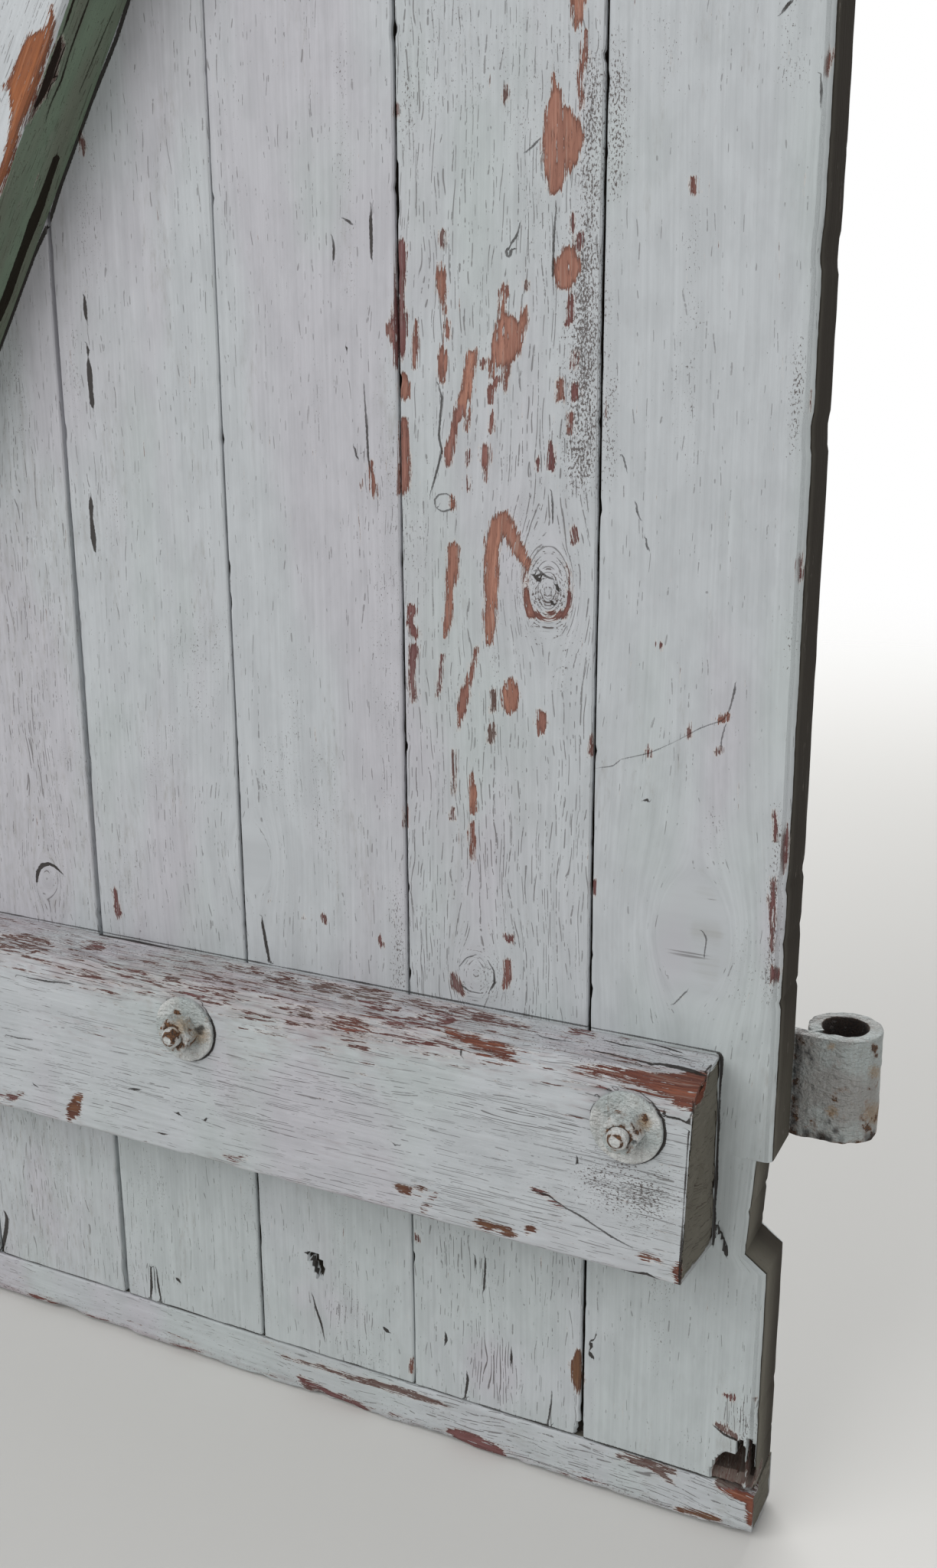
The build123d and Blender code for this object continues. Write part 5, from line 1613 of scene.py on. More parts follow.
def make_rail(node, seed, photographed):
    """Rail along the ends of the boards."""
    low, high = node_box(node)
    inner_is_top = photographed
    outline = bar_outline(low, high, 1.2 if photographed else 2.5, RAIL_ARRIS if inner_is_top else RAIL_FOOT_ARRIS,
                          RAIL_FOOT_ARRIS if inner_is_top else RAIL_ARRIS)
    if photographed:
        places = levels((FREE_EDGE_X, PHOTO_LEFT_X, 6.0), (PHOTO_LEFT_X, HINGE_EDGE_X - 20, 2.2),
                        (HINGE_EDGE_X - 20, HINGE_EDGE_X, 0.8))
    else:
        places = levels((FREE_EDGE_X, HINGE_EDGE_X, 6.0))
    outer_z = low[2] if photographed else high[2]

    def wear(points):
        outer = np.exp(-(np.abs(points[:, 2] - outer_z) / 4.0)) * rise(-points[:, 1], -FRONT_Y - 9, -FRONT_Y)
        ragged = noise(points, (16, 6, 6), seed) + 0.6 * noise(points, (5, 3, 3), seed + 1)
        depth = 0.15 + outer * np.clip(0.6 + 1.4 * ragged, 0, 3.2)
        return depth + 0.15 * noise(points, (30, 8, 8), seed + 2)

    rows = bar_rows(outline, places, wear)
    if photographed:
        distance = HINGE_EDGE_X - rows[:, :, 0]
        flat = rows.reshape(-1, 3)
        ragged = noise(flat, (2.0, 3.0, 3.0), seed + 3).reshape(distance.shape)
        drop = BREAK_DROP * rise(BREAK_LENGTH - distance + 1.5 * ragged, 0, 8.0) + 0.7 * ragged * (distance < BREAK_LENGTH)
        forward = rise(FRONT_Y + BREAK_DEPTH - rows[:, :, 1] + ragged, 0, 2.0)
        share = (rows[:, :, 2] - low[2]) / (high[2] - low[2])
        rows[:, :, 2] -= np.maximum(drop, 0) * forward * share
        bulge = RAIL_BULGE * np.exp(-((rows[:, :, 0] - RAIL_BULGE_X) / RAIL_BULGE_REACH) ** 2)
        rows[:, :, 2] -= (RAIL_SAG + bulge) * (1 - share)
    centre = np.array([(low[1] + high[1]) / 2, (low[2] + high[2]) / 2])
    rows = with_ends(rows, centre, RAIL_END_RINGS, 0.7, seed + 10)
    points = rows.reshape(-1, 3)
    x, y, z = points.T
    peels = drawn_peels(RAIL_PEELS, on_boards, (0, 1)) if photographed else []
    peels += scattered_peels(seed + 20, (FREE_EDGE_X, FRONT_Y, low[2] + 3), (PHOTO_LEFT_X if photographed
                             else HINGE_EDGE_X - 30, FRONT_Y, high[2] - 3), 0, 5 if photographed else 14)
    peels += scattered_peels(seed + 21, (FREE_EDGE_X, BACK_Y, low[2] + 3), (HINGE_EDGE_X - 30, BACK_Y, high[2] - 3), 0, 10)
    normals = np.tile((0.0, -1.0, 0.0), (len(points), 1))
    grain, sawn = bar_grain(rows, outline, RAIL_END_RINGS, seed)
    outer = np.exp(-np.abs(z - outer_z) / 3.0)
    weather = 0.42 * outer + 0.2 * rise(noise(points, (40, 20, 20), seed + 30), 0.0, 0.8)
    bench = rise(np.abs(z - (high[2] if photographed else low[2])), 1.0, 0.2) * rise(y, FRONT_Y + 1.5, FRONT_Y + 3)
    finish, colours = bpy.context.scene.shutter_finish, bpy.context.scene.shutter_colours
    craze = finish.cracking * (0.65 + 0.45 * rise(x, -240, -120))
    # The sawn ends take the end grain colour, weathered wood that also paints shade.
    fields = wood_fields(points, normals, grain, peels, [], weather, craze, 0.2 + 0.35 * outer,
                         np.clip(sawn * 0.8 + bench, 0, 1), cool=0.2)
    if photographed:
        broken = np.maximum(HINGE_EDGE_X - x - BREAK_LENGTH, high[2] - BREAK_DROP - 0.5 - z)
        broken = np.maximum(np.maximum(broken, y - FRONT_Y - BREAK_DEPTH), -1.8)
        fields["tone"] = np.where(broken < np.minimum(fields["bare"], 1.0), 1.0, fields["tone"])
        fields["bare"] = np.minimum(fields["bare"], broken)
    material = painted_wood("aged_rails", colours.paint, colours.end_grain_and_shade, colours.deep_wood)
    piece = make_piece(f"{node}_dressed", rows, fields, material)
    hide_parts(node)


# Ledges

LEDGE_END_SLANT = 2.4
LEDGE_SLANT_REACH = 30.0


def washer_rim_shadow(node, front_y, seed):
    """Ring of painted shadow under the rim of a washer, widest at its lower right."""
    low, high = node_box(node)
    angles = np.radians(np.arange(0, 361, 15))
    reach = (high - low) / 2 * (1, 0, 1) + (0.4, 0, 0.4)
    places = (low + high) / 2 + reach * np.stack([np.cos(angles), 0 * angles, np.sin(angles)], axis=1)
    places[:, 1] = front_y
    widths = 0.3 + 0.22 * np.cos(angles + 0.35) + 0.22 * noise(places, (4, 4, 4), seed)
    return np.column_stack([places, np.maximum(widths, 0.02)])


def make_ledge(node, seed, photographed):
    """Ledge across the boards, its upper corner splintered by weather."""
    scene = bpy.context.scene
    low, high = node_box(node)
    step = scene.shutter_sizes.ledge_step / MM * (1.0 if photographed else 2.2)
    outline = bar_outline(low, high, step, LEDGE_WEAR_RADIUS, 1.5, 0.6)
    if photographed:
        places = levels((low[0], PHOTO_LEFT_X, 5.0), (PHOTO_LEFT_X, high[0], 2.2))
    else:
        places = levels((low[0], high[0], 5.0))
    deepest = scene.shutter_sizes.ledge_wear / MM
    peels = drawn_peels(LEDGE_PEELS, on_ledge, (0, 1)) if photographed else []
    far = PHOTO_LEFT_X if photographed else high[0] - 40
    corner_z = high[2] - 3
    peels += scattered_peels(seed, (low[0], low[1] + 1, corner_z - 3), (far, low[1] + 1, corner_z), 0, 8)
    peels += scattered_peels(seed + 1, (low[0], low[1], low[2] + 4), (far, low[1], high[2] - 14), 0, 5)

    def corner_share(points):
        away = np.hypot(points[:, 1] - (low[1] + 3.5), points[:, 2] - (high[2] - 3.5))
        return np.exp(-(away / 9.5) ** 2)

    def wear(points):
        corner = corner_share(points)
        splinter = noise(points, (38, 3.2, 3.2), seed + 2)
        fibre = noise(points, (15, 1.5, 1.5), seed + 3)
        broken = rise(noise(points, (24, 4.5, 4.5), seed + 4), 0.05, 0.35)
        depth = deepest * corner * (0.55 + 0.5 * splinter + 0.35 * fibre + 0.7 * broken)
        upper = rise(points[:, 2], high[2] - 1.5, high[2])
        depth += upper * 0.5 * np.abs(noise(points, (26, 2.4, 2.4), seed + 5))
        lower = np.exp(-np.abs(points[:, 2] - low[2]) / 2.5) * rise(-points[:, 1], -low[1] - 5, -low[1])
        depth += lower * 1.1 * rise(noise(points, (13, 4, 4), seed + 6), 0.1, 0.7)
        gap = np.full(len(points), PEEL_REACH)
        for _, chain in peels:
            near = near_chain(points, chain, 4.0)
            gap[near] = np.minimum(gap[near], chain_gap(points[near], chain))
        return depth + 0.45 * rise(-gap, -0.3, 0.7) + 0.05

    rows = bar_rows(outline, places, wear)
    foot_share = 1 - (rows[:, :, 2] - low[2]) / (high[2] - low[2])
    front_share = 1 - (rows[:, :, 1] - low[1]) / (high[1] - low[1])
    closeness = np.clip(1 - (high[0] - rows[:, :, 0]) / LEDGE_SLANT_REACH, 0, 1)
    rows[:, :, 0] -= LEDGE_END_SLANT * foot_share * front_share * closeness
    centre = np.array([(low[1] + high[1]) / 2, (low[2] + high[2]) / 2])
    end_count = 14 if photographed else 6
    rows = with_ends(rows, centre, end_count, 1.3, seed + 8)
    points = rows.reshape(-1, 3)
    x, y, z = points.T
    corner = corner_share(points)
    upper = rise(z, high[2] - 2.0, high[2] - 0.4)
    normals = np.tile((0.0, -1.0, 0.0), (len(points), 1))
    normals[upper > 0.5] = (0.0, -0.5, 0.87)
    grain, sawn = bar_grain(rows, outline, end_count, seed)
    cracks = drawn_cracks(LEDGE_CRACKS, on_ledge, (0, 1)) if photographed else []
    strap_name = "lower" if photographed else "upper"
    # Rings of painted shadow under the washers' rims.
    cracks += [washer_rim_shadow(f"{strap_name}_washer_{number}", low[1], seed + number) for number in (1, 2, 3)]
    end_x, slanted_x = high[0], high[0] - LEDGE_END_SLANT
    cracks.append(seam((slanted_x, low[1] + 0.3, low[2]), (end_x - 0.3, low[1] + 1.5, high[2] - 6), 0.6, seed + 14))
    # Painted shade where the ledge's end meets the boards.
    cracks.append(seam((end_x, high[1] - 1, low[2]), (end_x, high[1] - 1, high[2]), 0.8, seed + 15))
    cracks.append(seam((end_x - 0.4, low[1] + 2, high[2] - 7), (end_x - 0.4, high[1] - 10, high[2]), 0.7, seed + 16))
    flaking = scene.shutter_finish.flaking
    foot = np.exp(-np.abs(z - low[2]) / 2.0)
    weather = flaking * np.clip(1.05 * corner + 0.75 * upper, 0, 1.0) * (1 - 0.45 * rise(x, -150, -95)) * (1 - 0.2 * rise(-x, 250, 310))
    weather += 0.35 * foot + 0.18 * rise(noise(points, (60, 12, 12), seed + 11), 0.1, 0.7)
    specks = 0.85 * np.exp(-((x - high[0] + 23) / 26) ** 2 - ((z - low[2] - 33) / 16) ** 2) + 0.5 * upper
    craze = np.maximum(0.85, crazed(points, LEDGE_CRAZED_PLACES, on_ledge)) + 0.4 * noise(points, (60, 15, 15), seed + 12)
    craze *= scene.shutter_finish.cracking
    colours = scene.shutter_colours
    lean = 0.3 * np.exp(-((x + 200) / 70) ** 2) * rise(-z, -5, 20) + 0.25 * upper
    # The ledge's sawn ends take the end grain colour, weathered wood that also paints shade.
    fields = wood_fields(points, normals, grain, peels, cracks, weather, craze, specks, sawn * 0.85, lean, 0.15 - lean)
    missing = fields["bare"] > 3.0
    fields["tone"] = np.where(missing, 0.75, fields["tone"])
    material = painted_wood("aged_ledges", colours.paint, colours.end_grain_and_shade, colours.deep_wood, 0.165, 1.15, 1.0,
                            (1.6, 0.6), 0.8)
    piece = make_piece(f"{node}_dressed", rows, fields, material)
    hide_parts(node)


# Brace

BRACE_ARRIS = 2.0


def make_brace():
    """Diagonal brace, cut level where it bears on the ledges."""
    scene = bpy.context.scene
    low, high = BRACE
    width = BRACE_FOOT_WIDTH
    front, back = low[1], high[1]
    outline = line((width - BRACE_ARRIS, front), (BRACE_ARRIS, front), 1.4)
    outline += bend((BRACE_ARRIS, front + BRACE_ARRIS), BRACE_ARRIS, 270, 180, 3)
    outline += line((0, front + BRACE_ARRIS), (0, back), 1.6)
    outline += line((0, back), (width, back), 8.0)
    outline += line((width, back), (width, front + BRACE_ARRIS), 1.3)
    outline += bend((width - BRACE_ARRIS, front + BRACE_ARRIS), BRACE_ARRIS, 0, -90, 3)
    outline = np.array(outline)
    normals = outline_normals(outline)
    heights = levels((low[2], 225, 5.0), (225, PHOTO_TOP_Z + 15, 1.8), (PHOTO_TOP_Z + 15, high[2], 6.0))
    row_count, ring_count = len(heights), len(outline)
    shift = low[0] + (heights - low[2]) * math.tan(BRACE_ANGLE)
    x = outline[None, :, 0] + shift[:, None]
    y = np.repeat(outline[None, :, 1], row_count, axis=0)
    z = np.repeat(heights[:, None], ring_count, axis=1)
    flat = np.stack([x, y, z], axis=2).reshape(-1, 3)
    along = flat[:, 0] * math.sin(BRACE_ANGLE) + flat[:, 2] * math.cos(BRACE_ANGLE)
    around = np.tile(girth(outline), row_count)
    grain = np.stack([around, along, flat[:, 1]], axis=1)
    arris = np.exp(-(flat[:, 1] - front) / 2.5) * np.tile(
        np.maximum(np.exp(-outline[:, 0] / 3.0), np.exp(-(width - outline[:, 0]) / 3.0)), row_count)
    worn = arris * np.clip(0.5 + 1.1 * noise(grain, (3, 22, 3), 91) + 0.5 * noise(grain, (2, 7, 2), 92), 0, 2.2)
    worn = (worn + 0.08 + 0.15 * noise(grain, (8, 60, 8), 93)).reshape(row_count, ring_count)
    rows = np.stack([x - normals[None, :, 0] * worn, y - normals[None, :, 1] * worn, z], axis=2)
    points = rows.reshape(-1, 3)
    peels = drawn_peels(BRACE_PEELS, on_brace_front, (1, 0)) + drawn_peels(BRACE_SIDE_PEELS, on_brace_side, (1, 0))
    cracks = drawn_cracks(BRACE_SIDE_CRACKS, on_brace_side, (1, 0))
    for number in range(9):
        place = 470 + number * 31.0 if number > 1 else 60 + number * 70.0
        start = np.array([low[0] + (place - low[2]) * math.tan(BRACE_ANGLE) + 10 + 8.5 * (number % 9), front, place])
        reach = np.array([math.sin(BRACE_ANGLE), 0, math.cos(BRACE_ANGLE)]) * (14 + 4 * (number % 4))
        chain = np.array([(*start, 0.6), (*(start + reach / 2), 1.0 + 0.5 * (number % 3)), (*(start + reach), 0.4)])
        peels.append((0.1 * (number % 5), chain))
    side = rise(y.reshape(-1), front + 1.5, front + 3.0) * (np.tile(outline[:, 0], row_count) > width - 1)
    left_side = rise(y.reshape(-1), front + 1.5, front + 3.0) * (np.tile(outline[:, 0], row_count) < 1)
    finish, colours = scene.shutter_finish, scene.shutter_colours
    side_facing = (math.cos(BRACE_ANGLE), 0.0, -math.sin(BRACE_ANGLE))
    facings = np.where(side[:, None] > 0, side_facing, (0.0, -1.0, 0.0))
    weather = 0.32 * arris + 0.12 * rise(noise(points, (30, 30, 60), 94), 0.1, 0.8)
    specks = 0.15 + side * 0.2
    greyer = 1 + 0.55 * rise(noise(grain, (9, 70, 9), 95), -0.3, 0.5)
    fields = wood_fields(points, facings, grain[:, :2], peels, cracks, weather, finish.cracking * 0.8, specks,
                         np.maximum(side, left_side) * greyer)
    lighter = tuple(min(1.0, level * 1.08) for level in colours.paint)
    material = painted_wood("aged_brace", lighter, colours.brace_green, colours.brace_wood)
    piece = make_piece("brace_dressed", rows, fields, material)
    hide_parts("brace")


# Strap hinges

PLATE = 5.5
EYE_MIDDLE_RADIUS = 11.0
SEAM_ANGLE = 223.0
TAIL_RADIUS = 18.0
EYE_DROP = 1.6


def strap_path(tail_x):
    """Places and outward directions along the middle of the strap, from its tail round the eye."""
    middle_y = -EYE_MIDDLE_RADIUS
    straight = levels((tail_x, tail_x + 20, 0.9), (tail_x + 20, -32, 6.0), (-32, 0, 1.0))
    places = [(x, middle_y) for x in straight[:-1]]
    outward = [(0.0, -1.0)] * len(places)
    for angle in np.radians(np.arange(-90, SEAM_ANGLE, 4.4)):
        places.append((EYE_MIDDLE_RADIUS * math.cos(angle), EYE_MIDDLE_RADIUS * math.sin(angle)))
        outward.append((math.cos(angle), math.sin(angle)))
    return np.array(places), np.array(outward)


def make_strap(node, seed):
    """Flat strap rolled into an eye, under lumpy brush paint."""
    low, high = node_box(node)
    middle_z, half = (low[2] + high[2]) / 2, (high[2] - low[2]) / 2
    places, outward = strap_path(low[0])
    section = line((PLATE / 2, half - 0.8), (PLATE / 2, -half + 0.8), 1.0)
    section += bend((PLATE / 2 - 0.8, -half + 0.8), 0.8, 0, -90, 2)
    section += line((PLATE / 2 - 0.8, -half), (-PLATE / 2 + 0.8, -half), 1.0)
    section += bend((-PLATE / 2 + 0.8, -half + 0.8), 0.8, 270, 180, 2)
    section += line((-PLATE / 2, -half + 0.8), (-PLATE / 2, half - 0.8), 1.0)
    section += bend((-PLATE / 2 + 0.8, half - 0.8), 0.8, 180, 90, 2)
    section += line((-PLATE / 2 + 0.8, half), (PLATE / 2 - 0.8, half), 1.0)
    section += bend((PLATE / 2 - 0.8, half - 0.8), 0.8, 90, 0, 2)
    section = np.array(section)
    normals = outline_normals(section)
    from_tail = places[:, 0] - low[0]
    round_off = np.where(np.arange(len(places)) < 60, np.clip(TAIL_RADIUS - from_tail, 0, TAIL_RADIUS), 0)
    tail_half = half - TAIL_RADIUS + np.sqrt(np.maximum(TAIL_RADIUS ** 2 - round_off ** 2, 0))
    row_count, ring_count = len(places), len(section)
    x = places[:, None, 0] + outward[:, None, 0] * section[None, :, 0]
    y = places[:, None, 1] + outward[:, None, 1] * section[None, :, 0]
    z = middle_z + section[None, :, 1] * (tail_half / half)[:, None]
    flat = np.stack([x, y, z], axis=2).reshape(-1, 3)
    lumps = bpy.context.scene.shutter_sizes.paint_lumps / MM * 1.7
    rough = 0.6 * noise(flat, (6, 6, 7), seed) + 0.5 * noise(flat, (2.2, 2.2, 2.6), seed + 1)
    face_only = 1.0 - 0.9 * (flat[:, 1] > BACK_Y + 0.2) * (flat[:, 1] < BACK_Y + PLATE / 2) * (flat[:, 0] < -15)
    push = (lumps * (rough - 0.25) * face_only).reshape(row_count, ring_count)
    under = (section[None, :, 0] > 0) & (places[:, None, 0] < -16) & (np.arange(row_count)[:, None] < 200)
    push = np.where(under & (y < BACK_Y + 0.6), 0.0, push)
    x = x + outward[:, None, 0] * normals[None, :, 0] * push
    y = y + outward[:, None, 1] * normals[None, :, 0] * push
    z = z + normals[None, :, 1] * push
    foot = (section[None, :, 1] < -half + 0.9) * np.ones((row_count, 1))
    ragged = noise(flat, (2.4, 2.4, 40), seed + 2).reshape(row_count, ring_count)
    z = z + foot * 0.5 * np.abs(ragged)
    eye = rise(places[:, 0], -20.0, -14.0) * (np.arange(row_count) > 30)
    z = z - EYE_DROP * eye[:, None] * (high[2] - z) / (high[2] - low[2])
    rows = np.stack([x, y, z], axis=2)
    points = rows.reshape(-1, 3)
    low_rim = np.exp(-(points[:, 2] - low[2]) / 2.5)
    right_side = rise(points[:, 0], 6, 13) * rise(-points[:, 2] + middle_z, -8, 10)
    near_board = rise(-points[:, 0], 11.0, 13.5) * (points[:, 0] > -16)
    rust = 0.16 + 0.35 * low_rim + 0.25 * right_side + 0.35 * near_board
    gnawed = rise(noise(points, (3.2, 3.2, 60), seed + 3), 0.0, 0.4) * rise(-points[:, 2], -low[2] - 3.0, -low[2] - 1.0)
    # Painted shade on the side of the eye next to the board and inside the bore, with dirt and rust.
    painted_shade_side = near_board * rise(noise(points, (4, 4, 5), seed + 4), -0.6, 0.3)
    bore = np.hypot(points[:, 0], points[:, 1]) < bore_limit()
    rust = np.where(bore, 0.95, rust)
    colours = bpy.context.scene.shutter_colours
    material = painted_iron("aged_straps", colours.dirty_shaded_strap_paint, 0.5, 0.0014)
    fields = iron_fields(points, points + seed, rust, np.maximum(bore, np.maximum(gnawed, 0.8 * painted_shade_side)))
    piece = make_piece(f"{node}_dressed", rows, fields, material)
    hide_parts(node)


def bore_limit():
    """Radius inside which the eye is worn by its pintle."""
    return EYE_MIDDLE_RADIUS - PLATE / 2 + 0.5


# Bolts, washers and nuts

TURNED_POINTS = 64
HEX_AROUND = 96
THREAD_PITCH = 1.25
THREAD_DEPTH = 0.42


def turned_rows(profile, centre, around):
    """Rows round an axis along y; the profile is pairs of radius and y."""
    angles = np.linspace(0, 2 * math.pi, around, endpoint=False)
    profile = np.array(profile)
    x = centre[0] + profile[:, None, 0] * np.cos(angles)[None, :]
    z = centre[1] + profile[:, None, 0] * np.sin(angles)[None, :]
    y = np.repeat(profile[:, 1][:, None], around, axis=1)
    return np.stack([x, y, z], axis=2), angles


def lumpy(rows, centre, height, seed, grain=2.6):
    """Rows pushed out and in by brush paint."""
    points = rows.reshape(-1, 3)
    away = points - np.array([centre[0], 0, centre[1]])
    out = away * (1, 0, 1)
    out /= np.maximum(np.linalg.norm(out, axis=1), 0.6)[:, None]
    push = height * (0.65 * noise(points, (grain,) * 3, seed) + 0.35 * noise(points, (grain * 0.4,) * 3, seed + 1))
    moved = points + out * push[:, None]
    moved[:, 1] += 0.7 * height * noise(points, (grain,) * 3, seed + 2)
    return moved.reshape(rows.shape)


def fastener_piece(name, node, rows, rust, seed, wrap_rows):
    """One turned piece with the painted iron finish."""
    points = rows.reshape(-1, 3)
    colours = bpy.context.scene.shutter_colours
    material = painted_iron("aged_fasteners", colours.iron_paint, 0.22, 0.0008)
    fields = iron_fields(points, points + seed * 3.7, np.broadcast_to(rust, len(points)), np.zeros(len(points)))
    piece = make_piece(name, rows, fields, material, wrap_rows=wrap_rows, sharp_angle=50)
    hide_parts(node)


def make_washer(node, rust, seed):
    """Broad washer, its edge softened by paint."""
    low, high = node_box(node)
    centre = ((low[0] + high[0]) / 2, (low[2] + high[2]) / 2)
    outer, inner, soft = (high[0] - low[0]) / 2, 4.6, 0.6
    profile = line((inner, high[1]), (outer - soft, high[1]), 3.0)
    profile += [np.array([outer, high[1] - 0.3]), np.array([outer, low[1] + soft])]
    profile += [np.array([outer - 0.2, low[1] + 0.2]), np.array([outer - soft, low[1]])]
    profile += line((outer - soft - 0.6, low[1]), (inner, low[1]), 0.9)
    rows, _ = turned_rows(profile, centre, TURNED_POINTS * 2)
    lumps = bpy.context.scene.shutter_sizes.paint_lumps / MM * 0.55
    moved = lumpy(rows, centre, lumps, seed, 3.4)
    moved[:, :, 1] = np.where(rows[:, :, 1] > high[1] - 0.2, rows[:, :, 1], moved[:, :, 1])
    fastener_piece(f"{node}_dressed", node, moved, rust, seed, True)


def make_nut(node, rust, seed):
    """Hexagon nut, turned as it was left and thick with paint."""
    low, high = node_box(node)
    centre = ((low[0] + high[0]) / 2, (low[2] + high[2]) / 2)
    half_flat, corner_cut, bore = 6.5, 0.9, 4.05
    corner = half_flat / math.cos(math.pi / 6)
    front, back = low[1], high[1]
    angles = np.linspace(0, 2 * math.pi, HEX_AROUND, endpoint=False)
    turn = 0.0 if (high[0] - low[0]) > (high[2] - low[2]) else math.pi / 6
    hexagon = half_flat / np.cos((angles - turn + math.pi / 6) % (math.pi / 3) - math.pi / 6)
    profile = [(bore, back), (6.4, back), (corner, back), (corner, back - 1.6), (corner, front + 2.4),
               (corner, front + corner_cut), (corner - 0.5, front + 0.35), (corner - corner_cut, front),
               (5.4, front), (bore, front), (bore, front + 2.0)]
    rows, _ = turned_rows(profile, centre, HEX_AROUND)
    for number, (radius, _) in enumerate(profile):
        limit = np.minimum(radius, hexagon)
        rows[number, :, 0] = centre[0] + limit * np.cos(angles)
        rows[number, :, 2] = centre[1] + limit * np.sin(angles)
    lumps = bpy.context.scene.shutter_sizes.paint_lumps / MM
    moved = lumpy(rows, centre, lumps, seed)
    moved[:2, :, 1] = rows[:2, :, 1]
    away = moved.reshape(-1, 3) - np.array([centre[0], 0, centre[1]])
    rust = rust + 0.3 * rise(-np.hypot(away[:, 0], away[:, 2]), -5.0, -4.3)
    fastener_piece(f"{node}_dressed", node, moved, rust, seed, True)


def make_bolt(node, rust, seed):
    """Carriage bolt: low dome on the strap, threaded end beyond the nut."""
    low, high = node_box(node)
    centre = ((low[0] + high[0]) / 2, (low[2] + high[2]) / 2)
    shank, head = 4.0, (high[0] - low[0]) / 2
    tip_y, crown_y = low[1], high[1]
    strap_y = BACK_Y + PLATE
    rise_height = crown_y - strap_y
    profile = [(0.15, tip_y), (1.2, tip_y + 0.08), (1.9, tip_y + 0.25), (2.4, tip_y + 0.6), (2.9, tip_y + 1.1),
               (3.5, tip_y + 1.8), (shank, tip_y + 2.1)]
    profile += [(shank, y) for y in np.arange(tip_y + 2.2, tip_y + 13, 0.3)]
    profile += [(shank, tip_y + 14), (shank, strap_y - 6), (shank, strap_y - 0.1), (head - 0.6, strap_y - 0.05)]
    for angle in np.radians(np.arange(0, 86, 9)):
        profile.append((head * math.cos(angle), strap_y + 0.15 + (rise_height - 0.15) * math.sin(angle)))
    profile.append((0.15, crown_y))
    rows, angles = turned_rows(profile, centre, TURNED_POINTS)
    threaded = rise(rows[:, :, 1], tip_y + 1.2, tip_y + 2.4) * (rows[:, :, 1] < tip_y + 13.5)
    wave = np.cos(2 * math.pi * rows[:, :, 1] / THREAD_PITCH + angles[None, :])
    groove = THREAD_DEPTH * threaded * (0.5 - 0.5 * wave)
    away = rows - np.array([centre[0], 0, centre[1]])
    radius = np.maximum(np.hypot(away[:, :, 0], away[:, :, 2]), 0.1)
    rows[:, :, 0] -= away[:, :, 0] / radius * groove
    rows[:, :, 2] -= away[:, :, 2] / radius * groove
    lumps = bpy.context.scene.shutter_sizes.paint_lumps / MM
    moved = lumpy(rows, centre, lumps, seed)
    hidden = (rows[:, :, 1] > tip_y + 6) & (rows[:, :, 1] < strap_y + 0.1)
    moved = np.where(hidden[:, :, None], rows, moved)
    ring = rise(radius, 1.6, 2.1) * rise(-radius, -3.3, -2.7) * (rows[:, :, 1] < tip_y + 1.5)
    rust = rust + 0.6 * ring.reshape(-1)
    fastener_piece(f"{node}_dressed", node, moved, rust, seed, False)


# How rusty each set of bolt, washer and nut is, by strap and number from the hinge.
FASTENER_RUST = {
    ("lower", 1): (0.28, 0.12, 0.42),
    ("lower", 2): (0.4, 0.2, 0.52),
    ("lower", 3): (0.35, 0.25, 0.5),
    ("upper", 1): (0.3, 0.2, 0.4),
    ("upper", 2): (0.4, 0.3, 0.6),
    ("upper", 3): (0.35, 0.15, 0.45),
}


# Operators, one for each group of pieces

